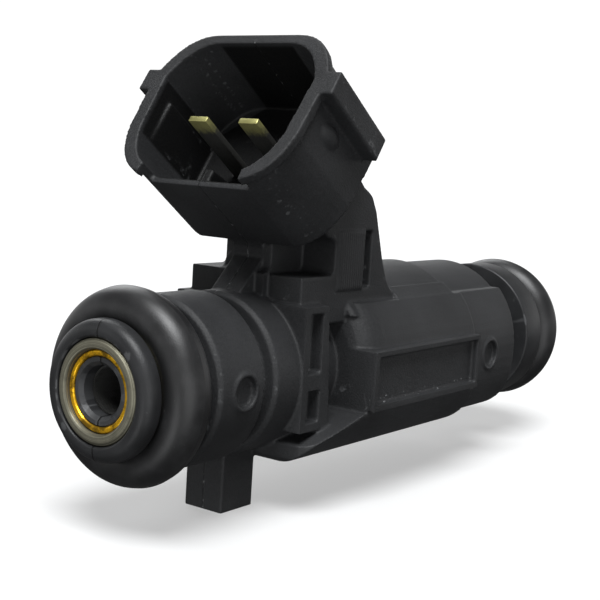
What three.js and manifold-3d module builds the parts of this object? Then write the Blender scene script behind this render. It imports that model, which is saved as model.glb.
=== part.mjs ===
// Port fuel injector with a moulded housing and a two-blade socket.
// Millimetres. +X runs from the fuel inlet to the nozzle, along the injector's own axis, and +Z is up.
// The origin is on that axis, at the middle of the inlet O-ring.
import * as THREE from "three";
import { mergeVertices } from "three/addons/utils/BufferGeometryUtils.js";
import Module from "manifold-3d";

const wasm = await Module();
wasm.setup();

// ---- Driving dimensions ----------------------------------------------------------------------

const fit = 0.05; // gap left at a pressed or seated face
const slide = 0.1; // radial gap of a piece that slides
const housingSegments = 36;
const roundSegments = 24;
const smallSegments = 20;
const sealSides = 12;
const ballRings = 10;

// Seals
const sealOuterRadius = 7.3;
const sealSpacing = 56.3; // inlet O-ring to outlet O-ring

// Inlet tube, which is also the magnetic pole
const tubeRadius = 3.8;
const poleFace = 27;
const tubeWall = 0.8; // at the filter
const filterBoreDepth = 12.6;
const springBoreRadius = 1.55;
const poleReduction = 0.7; // the tube is slimmer by this inside the coil
const poleStep = 12;
const tubeChamfer = 0.3;

// Ring that keeps the inlet O-ring on the tube
const retainerRadius = 5.1;
const retainerLength = 1.4;
const retainerRound = 0.6;
const retainerGap = 0.175; // between it and the O-ring

// Inlet filter
const collarWall = 0.45;
const collarLength = 3.2;
const collarSetback = 0.35;
const filterWall = 0.62;
const filterLength = 11.4;
const filterWindows = 4;
const filterWindowWidth = 1.9;
const filterEndWall = 0.8;
const meshWall = 0.15;

// Housing, from the front to the back
const flangeFront = 2.5;
const flangeBack = 7.64;
const flangeRadius = 6.55;
const grooveWidth = 1.33;
const grooveRadius = 5.2;
const landRadius = 6.45; // round land behind the clip groove
const waistRadius = 5;
const bodyFront = 18.7;
const bodyBack = 44.85;
const bodyStep = 36.6; // the body is a little slimmer behind it
const bodyHalfWidth = 8.4;
const bodyDepth = 6.9;
const bodyBackHalfWidth = 8.2;
const bodyBackDepth = 6.75;
const shoulderWall = 6.5; // radius where the body's front wall meets its rounded shoulder
const shoulderLength = 2.5;
const shelfHeight = 5.5;
const crownFrontRadius = 7.95;
const crownBackRadius = 7.6;
const crownStep = 35.3;
const neckRadius = 5.5;
const neckSetback = 6.3; // from the housing's end to the outlet O-ring
const shellHalfWidth = 8.7; // thicker lower shell
const shellDepth = 7.25;
const shellFront = 12.3;
const shellTop = -3.1;
const shellTopFront = 18.2; // its front slants back to here at the top
const shellNoseLength = 2.7;
const shellNoseDrop = 0.95;
const shellNoseHalfWidth = 6.4;
const sectionPoints = 12; // points on each quarter of the body's section
const edge = 0.25;

// Locating post under the land
const postFront = 8.91;
const postLength = 3.82;
const postWidth = 3.75;
const postDepth = 10.83;

// Pocketed wing plate
const wingFront = 12.1;
const wingLength = 3.4;
const wingHalfWidth = 6.6;
const wingBottom = -4.1;
const wingTop = 5.7;
const pocketDepth = 1.2;
const pocketRim = 0.65;
const pocketBridge = 1.3;
const lowerPocketHeight = 2.6;

// Marking pads on both flanks
const padFront = 18.7;
const padLength = 17.5;
const padHalfWidth = 9;
const padBottom = -2.9;
const padTop = 2;
const padRim = 0.5;
const padRecess = 0.6;

// Socket for the harness plug
const socketTilt = THREE.MathUtils.degToRad(35);
const mouthHeight = 4.7; // along the socket's own axis, from the foot of its perpendicular
const socketDepth = 9.2;
const socketFloor = 1.2;
const socketTop = 28.65;
const socketBottom = 15.2;
const socketHalfWidth = 8.45;
const topFlat = 3.9;
const bottomFlat = 4.8;
const shoulderDrop = 4.25;
const cornerRise = 4.3;
const cornerTaper = 0.25;
const sideWall = 1.2;
const topWall = 0.88;
const bottomWall = 0.8;
const tongueSetback = 1.7;
const railWidth = 1;
const railTop = 25.1;
const railHeight = 2;
const railLength = 8;
const rimDepth = 0.8; // band round the mouth, proud of the socket's walls
const rimStep = 0.3;
const keyRibOffset = 0.25;
const keyRibHeight = 2.2;
const keyRibTipHeight = 1;
const keyRibWidth = 0.9;

// Pylon that carries the socket
const pylonHalfWidth = 5.6;
const pylonFront = 12.76;
const pylonTop = 7.81;
const columnFront = 16.93;
const columnFoot = 26.2;
const webHalfWidth = 1.45;
const webFront = 10.35;
const webKneeX = 12.85;
const webKneeZ = 9;
const stemHalfWidth = 2.3;

// Blades
const bladeSpacing = 4.92;
const bladeWidth = 1.8;
const bladeThickness = 0.5;
const bladeHeight = 20.97;
const bladeTip = 3.9;
const bladeBendDepth = 6.5;
const bladeLegX = 20.55;
const bladeLegTop = 11;
const bladeLegBottom = 4.7;

// Magnet
const yokeFront = 20;
const yokeRadius = 6.2;
const yokeWall = 0.7;
const yokeBackWall = 1.2;
const washerThickness = 1.1;
const bobbinLength = 12;
const bobbinHub = 0.5;
const bobbinFlange = 0.9;
const sleeveWall = 0.45;
const sleeveOverlap = 3;

// Valve
const lift = 0.08;
const poleGap = 0.1; // lift and the air gap that is left when the valve is open
const armatureLength = 6.9;
const springSeatDepth = 1.9;
const adjusterLength = 5.4;
const adjusterBore = 0.8;
const wireRadius = 0.2;
const springTurns = 8;
const stepsPerTurn = 10;
const wireSides = 5;
const needleRadius = 1.15;
const needleBore = 0.8;
const ballRadius = 1.7;
const valveFlangeLength = 2.3;
const valveNeckRadius = 4.6;
const valveNeckSetback = 0.4; // from the valve body's wide part to the housing's end
const valveTailRadius = 3.75;
const valveTailReach = 4.3; // past the outlet O-ring
const fuelBoreRadius = 2.4;
const seatBoreRadius = 3;
const seatLength = 2.3;
const seatOrifice = 0.5;
const guideLength = 2;
const guideSlots = 5;
const guideSlotWidth = 0.7;
const plateThickness = 0.35;
const sprayHoles = 4;
const sprayHoleRadius = 0.12;
const sprayCircle = 0.3;
const plateRingLength = 0.9;
const plateRingBore = 1.6;

// Plastic rings at the nozzle
const supportRadius = 7;
const supportLength = 3.4;
const supportLipRadius = 5.6;
const supportLipLength = 1;
const capRadius = 5.1;
const capLength = 3.1;
const capChamfer = 0.7;
const capBore = 2.2;
const capLip = 0.8;

// ---- Sizes that follow from them -------------------------------------------------------------

const filterBoreRadius = tubeRadius - tubeWall;
const poleRadius = tubeRadius - poleReduction;
const neckBack = sealSpacing - neckSetback;
const valveNeckBack = neckBack - valveNeckSetback;
const valveTailBack = sealSpacing + valveTailReach;
const sealSection = (sealOuterRadius - tubeRadius - fit) / 2;
const tubeFront = -(sealSection + retainerGap + retainerLength);
const outletSection = (sealOuterRadius - valveTailRadius - fit) / 2;
const landFront = flangeBack + grooveWidth;
const rootRadius = 0.5; // inner radius of the housing's pieces before the bore is cut
const collarFront = tubeFront + collarSetback;
const collarRadius = filterBoreRadius - fit;
const filterRadius = collarRadius - collarWall - fit;
const filterHoleRadius = filterRadius - filterWall;
const sleeveInner = poleRadius + fit;
const sleeveOuter = sleeveInner + sleeveWall;
const armatureRadius = sleeveInner - slide;
const armatureFront = poleFace + poleGap;
const armatureBack = armatureFront + armatureLength;
const needleFront = armatureFront + springSeatDepth + fit;
const washerBack = yokeFront + washerThickness;
const bobbinFront = washerBack + slide;
const bobbinBack = bobbinFront + bobbinLength;
const bobbinBore = sleeveOuter + slide;
const bobbinRadius = yokeRadius - yokeWall - slide;
const hubRadius = bobbinBore + bobbinHub;
const yokeBack = bobbinBack + slide + yokeBackWall;
const valveFront = yokeBack + slide;
const valveFlangeBack = valveFront + valveFlangeLength;
const sleeveFront = poleFace - sleeveOverlap;
const sleeveBack = valveFlangeBack + slide;
const plateRingFront = valveTailBack - plateRingLength;
const plateFront = plateRingFront - fit - plateThickness;
const seatBack = plateFront - fit;
const seatFront = seatBack - seatLength;
const guideBack = seatFront - fit;
const guideFront = guideBack - guideLength;
const seatAngle = Math.PI / 4;
const seatMouth = seatOrifice + seatLength * 0.6 * Math.tan(seatAngle);
// The ball touches the seat's cone on the circle where the cone's normal passes through its centre.
const coneApex = seatFront + seatMouth / Math.tan(seatAngle);
const ballCentre = coneApex - (ballRadius + fit / 2) / Math.sin(seatAngle);
const needleBack = ballCentre - Math.sqrt(ballRadius ** 2 - needleBore ** 2) - fit;
const socketBack = mouthHeight - socketDepth;
const bladeY = bladeSpacing / 2;

// ---- Solids ----------------------------------------------------------------------------------

// A closed geometry as a solid, with its faces pointing out.
function solid(geometry) {
  geometry.deleteAttribute("normal");
  geometry.deleteAttribute("uv");
  const merged = mergeVertices(geometry, 1e-4);
  const index = merged.index.array;
  const kept = [];
  for (let i = 0; i < index.length; i += 3) {
    const [a, b, c] = [index[i], index[i + 1], index[i + 2]];
    if (a !== b && b !== c && c !== a) kept.push(a, b, c);
  }
  const vertProperties = merged.attributes.position.array;
  const build = (triVerts) =>
    new wasm.Manifold(new wasm.Mesh({ numProp: 3, vertProperties, triVerts }));
  const made = build(new Uint32Array(kept));
  return made.volume() > 0 ? made : build(new Uint32Array(kept.reverse()));
}

// Turns an outline of [x, radius] points round the injector's axis.
function turn(outline, segments = roundSegments) {
  const points = outline.map(([x, r]) => new THREE.Vector2(r, x));
  const onAxis = outline[0][1] === 0 && outline[outline.length - 1][1] === 0;
  if (!onAxis) points.push(points[0].clone());
  return solid(new THREE.LatheGeometry(points, segments).rotateZ(-Math.PI / 2));
}

// A tube from x0 to x1, with its outer edges broken.
function ring(x0, x1, outer, inner, broken = 0, segments = roundSegments) {
  return turn([
    [x0, inner], [x0, outer - broken], [x0 + broken, outer],
    [x1 - broken, outer], [x1, outer - broken], [x1, inner],
  ].filter((p, i, all) => i === 0 || p[0] !== all[i - 1][0] || p[1] !== all[i - 1][1]), segments);
}

function rod(x0, x1, radius, segments = roundSegments) {
  return turn([[x0, 0], [x0, radius], [x1, radius], [x1, 0]], segments);
}

function box(x0, x1, y0, y1, z0, z1) {
  const geometry = new THREE.BoxGeometry(x1 - x0, y1 - y0, z1 - z0);
  return solid(geometry.translate((x0 + x1) / 2, (y0 + y1) / 2, (z0 + z1) / 2));
}

// An outline in the XZ plane, made thick along Y.
function slab(outline, y0, y1) {
  const shape = new THREE.Shape(outline.map(([x, z]) => new THREE.Vector2(x, z)));
  const geometry = new THREE.ExtrudeGeometry(shape, { depth: y1 - y0, bevelEnabled: false });
  return solid(geometry.rotateX(Math.PI / 2).translate(0, y1, 0));
}

// An outline in the YZ plane, made long along X.
const lengthwise = new THREE.Matrix4().makeBasis(
  new THREE.Vector3(0, 1, 0), new THREE.Vector3(0, 0, 1), new THREE.Vector3(1, 0, 0));

function bar(outline, x0, x1) {
  const shape = new THREE.Shape(outline.map(([y, z]) => new THREE.Vector2(y, z)));
  const geometry = new THREE.ExtrudeGeometry(shape, { depth: x1 - x0, bevelEnabled: false });
  return solid(geometry.translate(0, 0, x0).applyMatrix4(lengthwise));
}

// An outline in the XY plane, made high along Z.
function plate(outline, z0, z1) {
  const shape = new THREE.Shape(outline.map(([x, y]) => new THREE.Vector2(x, y)));
  return solid(new THREE.ExtrudeGeometry(shape, { depth: z1 - z0, bevelEnabled: false }).translate(0, 0, z0));
}

// The body's section: round above, and fuller at its lower corners.
function bodySection(halfWidth, depth) {
  const cubic = (v) => Math.sign(v) * Math.abs(v) ** (2 / 3);
  const steps = 4 * sectionPoints;
  return Array.from({ length: steps }, (_, i) => {
    const a = (2 * Math.PI * (i + 0.5)) / steps;
    const [c, s] = [Math.cos(a), Math.sin(a)];
    return s > 0 ? [halfWidth * c, halfWidth * s] : [halfWidth * cubic(c), depth * cubic(s)];
  });
}

// The socket's own frame: across (-Y), up the mouth, and out along its axis.
const across = new THREE.Vector3(0, -1, 0);
const upMouth = new THREE.Vector3(Math.sin(socketTilt), 0, Math.cos(socketTilt));
const outMouth = new THREE.Vector3(-Math.cos(socketTilt), 0, Math.sin(socketTilt));
const socketFrame = new THREE.Matrix4().makeBasis(across, upMouth, outMouth);

function inSocket(shape, from, to) {
  const options = { depth: to - from, bevelEnabled: false, curveSegments: 8 };
  const geometry = new THREE.ExtrudeGeometry(shape, options).translate(0, 0, from);
  return solid(geometry.applyMatrix4(socketFrame));
}

function socketBox(a0, a1, v0, v1, u0, u1) {
  const geometry = new THREE.BoxGeometry(a1 - a0, v1 - v0, u1 - u0);
  geometry.translate((a0 + a1) / 2, (v0 + v1) / 2, (u0 + u1) / 2);
  return solid(geometry.applyMatrix4(socketFrame));
}

// A point of the socket's frame, in the part's x and z.
function socketPoint(u, v) {
  return [outMouth.x * u + upMouth.x * v, outMouth.z * u + upMouth.z * v];
}

// The mouth's outline, set in from the outer one by the walls given.
function mouthShape(side, top, bottom) {
  const w = socketHalfWidth - side;
  const high = socketTop - top;
  const low = socketBottom + bottom;
  const flatTop = topFlat - side / 2;
  const flatBottom = bottomFlat - side / 4;
  const shoulder = socketTop - shoulderDrop;
  const knee = socketBottom + cornerRise;
  const shape = new THREE.Shape();
  shape.moveTo(-flatTop, high);
  shape.lineTo(flatTop, high);
  shape.quadraticCurveTo(w - 1.25, high, w, shoulder);
  shape.lineTo(w - cornerTaper, knee);
  shape.quadraticCurveTo(w - 0.85, low + 0.7, flatBottom, low);
  shape.lineTo(-flatBottom, low);
  shape.quadraticCurveTo(-w + 0.85, low + 0.7, -w + cornerTaper, knee);
  shape.lineTo(-w, shoulder);
  shape.quadraticCurveTo(-w + 1.25, high, -flatTop, high);
  return shape;
}

// A strip of metal along a path in the XZ plane, centred on it, with mitred bends.
function strip(path, thickness, y0, y1) {
  const side = (sign) => path.map(([x, z], i) => {
    const before = path[Math.max(i - 1, 0)];
    const after = path[Math.min(i + 1, path.length - 1)];
    const into = new THREE.Vector2(x - before[0], z - before[1]).normalize();
    const out = new THREE.Vector2(after[0] - x, after[1] - z).normalize();
    if (i === 0) into.copy(out);
    if (i === path.length - 1) out.copy(into);
    const mitre = into.clone().add(out).normalize();
    const reach = (sign * thickness) / 2 / mitre.dot(into);
    return [x - mitre.y * reach, z + mitre.x * reach];
  });
  return slab([...side(1), ...side(-1).reverse()], y0, y1);
}

function join(first, ...others) {
  return others.reduce((whole, piece) => whole.add(piece), first);
}

function cut(first, ...others) {
  return others.reduce((whole, piece) => whole.subtract(piece), first);
}

// Copies of a solid spaced evenly round the axis.
function aroundAxis(count, make) {
  return Array.from({ length: count }, (_, i) => make().rotate([(360 * i) / count, 0, 0]));
}

// ---- Materials -------------------------------------------------------------------------------

const finish = (color, roughness, metalness) =>
  new THREE.MeshStandardMaterial({ color, roughness, metalness });
const nylon = finish(0x2b2d2e, 0.62, 0);
const rubber = finish(0x1c1d1f, 0.45, 0);
const insulation = finish(0x4a3a2c, 0.5, 0);
const gauze = finish(0x9a9a8c, 0.6, 0.2);
const steel = finish(0x8e908a, 0.35, 1);
const brass = finish(0xc9922a, 0.3, 1);
const copper = finish(0xa8552f, 0.35, 1);
const tinned = finish(0xb4ab84, 0.3, 1);

const injector = new THREE.Group();

function piece(name, made, material, group) {
  const mesh = made.getMesh();
  const geometry = new THREE.BufferGeometry();
  geometry.setAttribute("position", new THREE.BufferAttribute(mesh.vertProperties, 3));
  geometry.setIndex(new THREE.BufferAttribute(mesh.triVerts, 1));
  geometry.computeVertexNormals();
  const named = new THREE.Mesh(geometry, material);
  named.name = name;
  group.add(named);
}

function assembly() {
  const group = new THREE.Group();
  injector.add(group);
  return group;
}

// ---- Housing ---------------------------------------------------------------------------------

function roundLands() {
  const bore = rootRadius;
  const flange = ring(flangeFront, flangeBack, flangeRadius, bore, edge, housingSegments);
  const waist = ring(flangeFront + edge, bodyFront + 1, grooveRadius, bore, 0, housingSegments);
  const land = ring(landFront, wingFront + wingLength, landRadius, bore, edge, housingSegments);
  return join(flange, waist, land);
}

function locatingPost() {
  const half = postWidth / 2;
  return box(postFront, postFront + postLength, -half, half, -postDepth, -waistRadius);
}

// One flank's pockets: a tall one above a short one.
function wingPockets(sign) {
  const y0 = sign * (wingHalfWidth - pocketDepth);
  const y1 = sign * (wingHalfWidth + edge);
  const [low, high] = [Math.min(y0, y1), Math.max(y0, y1)];
  const [x0, x1] = [wingFront + pocketRim, wingFront + wingLength - pocketRim];
  const bottom = wingBottom + pocketRim;
  const split = bottom + lowerPocketHeight;
  return [
    box(x0, x1, low, high, bottom, split),
    box(x0, x1, low, high, split + pocketBridge, wingTop - pocketRim),
  ];
}

function wingPlate() {
  const w = wingHalfWidth;
  return box(wingFront, wingFront + wingLength, -w, w, wingBottom, wingTop);
}

function mainBody() {
  const reach = bodyHalfWidth + 1;
  const round = (share) => Math.sqrt(1 - (1 - share) ** 2);
  const shoulder = [0, 0.2, 0.5, 1].map((share) =>
    [bodyFront + share * shoulderLength, shoulderWall + (bodyHalfWidth - shoulderWall) * round(share)]);
  const nose = turn([
    ...shoulder, [bodyBack, bodyHalfWidth], [bodyBack, rootRadius], [bodyFront, rootRadius],
  ], housingSegments);
  const front = bar(bodySection(bodyHalfWidth, bodyDepth), bodyFront, bodyStep);
  const back = bar(bodySection(bodyBackHalfWidth, bodyBackDepth), bodyStep - 1, bodyBack);
  const barrel = join(front.intersect(nose), back);
  const lower = cut(barrel, box(0, bodyBack + 1, -reach, reach, shelfHeight, reach));
  const crown = join(
    ring(bodyFront, crownStep, crownFrontRadius, rootRadius, edge, housingSegments),
    ring(crownStep - 1, bodyBack, crownBackRadius, rootRadius, edge, housingSegments),
  );
  const upper = cut(crown, box(0, bodyBack + 1, -reach, reach, -reach, shelfHeight - 1));
  return join(lower, upper);
}

function neck() {
  const bore = valveNeckRadius + fit;
  return ring(bodyBack - 1, neckBack, neckRadius, bore, edge, housingSegments);
}

// The lower shell: its section, with a nose rounded both in side view and in plan.
function lowerShell() {
  const steps = 6;
  const nose = Array.from({ length: steps + 1 }, (_, i) => {
    const a = (Math.PI / 2) * (i / steps);
    return [1 - Math.cos(a), 1 - Math.sin(a)];
  });
  const side = nose.map(([x, z]) =>
    [shellFront + shellNoseLength * x, -shellDepth + shellNoseDrop * z]);
  const flank = nose.map(([x, y]) => [shellFront + 2 * shellNoseLength * x,
    shellHalfWidth - (shellHalfWidth - shellNoseHalfWidth) * y]);
  const mirrored = flank.map(([x, y]) => [x, -y]).reverse();
  const low = -shellDepth - 1;
  const profile = slab([
    ...side, [bodyStep, -shellDepth], [bodyStep, shellTop], [shellTopFront, shellTop],
    [shellFront, (shellTop - shellDepth) / 2],
  ], -shellHalfWidth, shellHalfWidth);
  const outline = plate([
    ...flank, [bodyStep, shellHalfWidth], [bodyStep, -shellHalfWidth], ...mirrored,
  ], low, 0);
  const whole = bar(bodySection(shellHalfWidth, shellDepth), shellFront, bodyStep);
  return whole.intersect(profile).intersect(outline);
}

function markingPads() {
  const x1 = padFront + padLength;
  const pads = box(padFront, x1, -padHalfWidth, padHalfWidth, padBottom, padTop);
  const recess = (y0, y1) =>
    box(padFront + padRim, x1 - padRim, y0, y1, padBottom + padRim, padTop - padRim);
  const floor = padHalfWidth - padRecess;
  return cut(pads, recess(floor, padHalfWidth + 1), recess(-padHalfWidth - 1, -floor));
}

function pylon() {
  const backTop = socketPoint(socketBack, socketTop - shoulderDrop);
  const frontTop = socketPoint(socketBack + socketFloor / 2, socketTop - shoulderDrop - 1);
  const lowHook = socketPoint(socketBack + socketFloor / 2, socketBottom + 3);
  const outline = [
    [pylonFront, waistRadius - 1], [columnFoot, waistRadius - 1], [columnFoot, shelfHeight + 0.4],
    [columnFoot - 1.5, pylonTop - 0.6], [columnFoot - 2.35, 9.06], [columnFoot - 3.67, 12.88],
    [columnFoot - 5.7, 14.86], backTop, frontTop, lowHook,
    [columnFront - 1.16, 10.87], [columnFront, 10.08], [columnFront, pylonTop + 0.6],
    [columnFront - 0.6, pylonTop], [pylonFront, pylonTop],
  ];
  return slab(outline, -pylonHalfWidth, pylonHalfWidth);
}

// A web under the socket's heel, on the middle plane, and a thicker stem behind it.
function socketWeb() {
  const heel = socketPoint(socketBack + 0.4, socketBottom + 0.4);
  const back = columnFront + 1;
  const web = [
    [back, waistRadius], [webFront, waistRadius], [webFront, 6.5], [webKneeX, webKneeZ],
    [webKneeX - 0.1, webKneeZ + 0.8], heel, [back, heel[1] + 1],
  ];
  const stem = [
    [back, waistRadius], [webKneeX, waistRadius], [webKneeX, heel[1]],
    [webKneeX + 1, heel[1] + 1], [back, heel[1] + 1],
  ];
  return join(slab(web, -webHalfWidth, webHalfWidth), slab(stem, -stemHalfWidth, stemHalfWidth));
}

function socketShell() {
  const rimFront = mouthHeight - rimDepth;
  const rim = inSocket(mouthShape(0, 0, 0), rimFront, mouthHeight);
  const body = inSocket(mouthShape(rimStep, rimStep, rimStep), socketBack, rimFront + rimStep);
  const rail = (sign) => {
    const edges = [sign * (socketHalfWidth - 0.6), sign * (socketHalfWidth + railWidth)];
    return socketBox(Math.min(...edges), Math.max(...edges), railTop - railHeight, railTop,
      mouthHeight - railLength, mouthHeight);
  };
  return join(body, rim, rail(-1), rail(1));
}

function socketCavity() {
  const floor = socketBack + socketFloor;
  const hollow = inSocket(mouthShape(sideWall, topWall, bottomWall), floor, mouthHeight + 1);
  const step = socketBox(-bottomFlat - 0.1, bottomFlat + 0.1, socketBottom - 1,
    socketBottom + bottomWall + 0.1, mouthHeight - tongueSetback, mouthHeight + 1);
  return join(hollow, step);
}

// A rib on the socket's floor that keys the plug. It slopes down to the mouth.
function keyRib() {
  const foot = socketBottom + bottomWall / 2;
  const top = socketBottom + bottomWall;
  const back = socketBack + socketFloor / 2;
  const front = mouthHeight - tongueSetback;
  const outline = [
    socketPoint(back, foot), socketPoint(front, foot), socketPoint(front, top + keyRibTipHeight),
    socketPoint(back, top + keyRibHeight),
  ];
  return slab(outline, -keyRibOffset - keyRibWidth / 2, -keyRibOffset + keyRibWidth / 2);
}

const bladePath = [
  socketPoint(bladeTip, bladeHeight), socketPoint(-bladeBendDepth, bladeHeight),
  [bladeLegX, bladeLegTop], [bladeLegX, bladeLegBottom],
];

function blade(sign, clearance) {
  const y = sign * bladeY;
  const half = bladeWidth / 2 + clearance;
  return strip(bladePath, bladeThickness + 2 * clearance, y - half, y + half);
}

function magnetChamber() {
  return join(
    rod(yokeFront - fit, valveFlangeBack + fit, yokeRadius + fit, housingSegments),
    rod(valveFlangeBack - 1, neckBack + 1, valveNeckRadius + fit, housingSegments),
    rod(flangeFront - 1, poleStep + fit, tubeRadius + fit, housingSegments),
    rod(poleStep - 1, yokeFront + 1, poleRadius + fit, housingSegments),
  );
}

function housing() {
  const outside = join(roundLands(), locatingPost(), wingPlate(), mainBody(), lowerShell(),
    markingPads(), neck(), pylon(), socketWeb(), socketShell());
  const pockets = [...wingPockets(-1), ...wingPockets(1)];
  const open = cut(outside, socketCavity(), ...pockets);
  return cut(join(open, keyRib()), magnetChamber(), blade(-1, fit), blade(1, fit));
}

// ---- Seals and plastic rings -----------------------------------------------------------------

function seal(centre, section, inner) {
  const middle = inner + section;
  const outline = Array.from({ length: sealSides }, (_, i) => {
    const a = (2 * Math.PI * i) / sealSides;
    return [centre + section * Math.cos(a), middle + section * Math.sin(a)];
  });
  return turn(outline, housingSegments);
}

function sealRetainer() {
  const back = tubeFront + retainerLength;
  return turn([
    [tubeFront, tubeRadius + fit], [tubeFront, retainerRadius - retainerRound],
    [tubeFront + retainerRound * 0.3, retainerRadius - retainerRound * 0.3],
    [tubeFront + retainerRound, retainerRadius], [back, retainerRadius], [back, tubeRadius + fit],
  ], housingSegments);
}

function supportCollar() {
  const back = sealSpacing - outletSection - fit;
  const step = back - supportLipLength;
  const front = step - supportLength;
  const inner = valveTailRadius + fit;
  return turn([
    [front, inner], [front, supportRadius - edge], [front + edge, supportRadius],
    [step - edge, supportRadius], [step, supportRadius - edge], [step, supportLipRadius],
    [back, supportLipRadius], [back, inner],
  ], housingSegments);
}

function nozzleCap() {
  const front = sealSpacing + outletSection + fit;
  const lip = Math.max(valveTailBack + fit, front + capLength - capLip);
  const inner = valveTailRadius + fit;
  return turn([
    [front, inner], [front, capRadius], [lip + capLip - capChamfer, capRadius],
    [lip + capLip, capRadius - capChamfer], [lip + capLip, capBore], [lip, capBore], [lip, inner],
  ], housingSegments);
}

// ---- Fuel inlet ------------------------------------------------------------------------------

function inletTube() {
  const step = tubeFront + filterBoreDepth;
  return turn([
    [tubeFront, filterBoreRadius + tubeChamfer / 2], [tubeFront, tubeRadius - tubeChamfer],
    [tubeFront + tubeChamfer, tubeRadius], [poleStep - poleReduction, tubeRadius], [poleStep, poleRadius],
    [poleFace, poleRadius], [poleFace, springBoreRadius],
    [step, springBoreRadius], [step, filterBoreRadius],
    [tubeFront + tubeChamfer / 2, filterBoreRadius],
  ]);
}

function filterCollar() {
  return ring(collarFront, collarFront + collarLength, collarRadius, collarRadius - collarWall, 0.08,
    smallSegments);
}

function filterFrame() {
  const back = collarFront + filterLength;
  const basket = turn([
    [collarFront + 0.1, filterHoleRadius + 0.3], [collarFront + 0.1, filterRadius],
    [back, filterRadius - 0.2], [back, 0], [back - filterEndWall, 0],
    [back - filterEndWall, filterHoleRadius], [collarFront + 0.4, filterHoleRadius],
  ], smallSegments);
  const windowFront = collarFront + collarLength;
  const windowBack = back - filterEndWall - 0.5;
  const half = filterWindowWidth / 2;
  const window = () => box(windowFront, windowBack, -half, half, 0.5, filterRadius + 1);
  return cut(basket, ...aroundAxis(filterWindows, window));
}

function filterMesh() {
  const outer = filterHoleRadius - fit;
  return ring(collarFront + 1.2, collarFront + filterLength - filterEndWall - fit, outer,
    outer - meshWall, 0, smallSegments);
}

function adjustingSleeve() {
  const front = tubeFront + filterBoreDepth + 1.6;
  return ring(front, front + adjusterLength, springBoreRadius - fit, adjusterBore, 0.1, smallSegments);
}

// ---- Magnet ----------------------------------------------------------------------------------

// Room for the blades' lower ends, cut from the magnet's front.
function bladeSlot() {
  const half = bladeY + bladeWidth / 2 + 2 * slide;
  return box(yokeFront - 1, bladeLegX + bladeThickness / 2 + 2 * slide, -half, half,
    bladeLegBottom - 2 * slide, yokeRadius + 1);
}

function magnetYoke() {
  const shell = ring(yokeFront, yokeBack, yokeRadius, yokeRadius - yokeWall);
  const wall = ring(yokeBack - yokeBackWall, yokeBack, yokeRadius - yokeWall / 2, sleeveOuter + fit);
  return cut(join(shell, wall), bladeSlot());
}

function coverWasher() {
  const washer = ring(yokeFront, washerBack, yokeRadius - yokeWall - fit, poleRadius + fit);
  return cut(washer, bladeSlot());
}

function coilBobbin() {
  const hub = ring(bobbinFront, bobbinBack, hubRadius, bobbinBore);
  const front = ring(bobbinFront, bobbinFront + bobbinFlange, bobbinRadius, bobbinBore);
  const back = ring(bobbinBack - bobbinFlange, bobbinBack, bobbinRadius, bobbinBore);
  return join(hub, front, back);
}

function coilWinding() {
  return ring(bobbinFront + bobbinFlange + fit, bobbinBack - bobbinFlange - fit,
    bobbinRadius - slide, hubRadius + fit);
}

function magneticSleeve() {
  return ring(sleeveFront, sleeveBack, sleeveOuter, sleeveInner);
}

// ---- Valve -----------------------------------------------------------------------------------

function armature() {
  const seat = armatureFront + springSeatDepth;
  return turn([
    [armatureFront, springBoreRadius], [armatureFront, armatureRadius - edge],
    [armatureFront + edge, armatureRadius], [armatureBack, armatureRadius],
    [armatureBack, needleRadius + fit], [seat, needleRadius + fit], [seat, springBoreRadius],
  ]);
}

function needleTube() {
  return ring(needleFront, needleBack, needleRadius, needleBore, 0, smallSegments);
}

function valveBall() {
  const outline = Array.from({ length: ballRings + 1 }, (_, i) => {
    const a = Math.PI * (1 - i / ballRings);
    return [ballCentre + ballRadius * Math.cos(a), i % ballRings === 0 ? 0 : ballRadius * Math.sin(a)];
  });
  return turn(outline, smallSegments);
}

class SpringLine extends THREE.Curve {
  constructor(x0, x1, radius, turns) {
    super();
    Object.assign(this, { x0, x1, radius, turns });
  }

  getPoint(t) {
    const a = 2 * Math.PI * this.turns * t;
    const x = this.x0 + (this.x1 - this.x0) * t;
    return new THREE.Vector3(x, this.radius * Math.cos(a), this.radius * Math.sin(a));
  }
}

function returnSpring() {
  const front = tubeFront + filterBoreDepth + 1.6 + adjusterLength + fit + wireRadius;
  const back = armatureFront + springSeatDepth - fit - wireRadius;
  const radius = springBoreRadius - wireRadius - slide;
  const wire = new THREE.Shape().absarc(0, 0, wireRadius, 0, 2 * Math.PI);
  return solid(new THREE.ExtrudeGeometry(wire, {
    extrudePath: new SpringLine(front, back, radius, springTurns),
    steps: springTurns * stepsPerTurn,
    curveSegments: wireSides,
    bevelEnabled: false,
  }));
}

function valveBody() {
  return turn([
    [valveFront, sleeveOuter + fit], [valveFront, yokeRadius], [valveFlangeBack, yokeRadius],
    [valveFlangeBack, valveNeckRadius], [valveNeckBack - edge, valveNeckRadius],
    [valveNeckBack, valveNeckRadius - edge], [valveNeckBack, valveTailRadius],
    [valveTailBack - edge, valveTailRadius], [valveTailBack, valveTailRadius - edge],
    [valveTailBack, seatBoreRadius], [guideFront - fit, seatBoreRadius],
    [guideFront - fit, fuelBoreRadius], [sleeveBack + fit, fuelBoreRadius],
    [sleeveBack + fit, sleeveOuter + fit],
  ]);
}

function ballGuide() {
  const guide = ring(guideFront, guideBack, seatBoreRadius - fit, ballRadius + slide / 2);
  const half = guideSlotWidth / 2;
  const slot = () => box(guideFront - 1, guideBack + 1, -half, half, 1, ballRadius + 0.6);
  return cut(guide, ...aroundAxis(guideSlots, slot));
}

function valveSeat() {
  const throat = coneApex - seatOrifice / Math.tan(seatAngle);
  return turn([
    [seatFront, seatMouth], [seatFront, seatBoreRadius - fit], [seatBack, seatBoreRadius - fit],
    [seatBack, seatOrifice], [throat, seatOrifice],
  ]);
}

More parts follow.
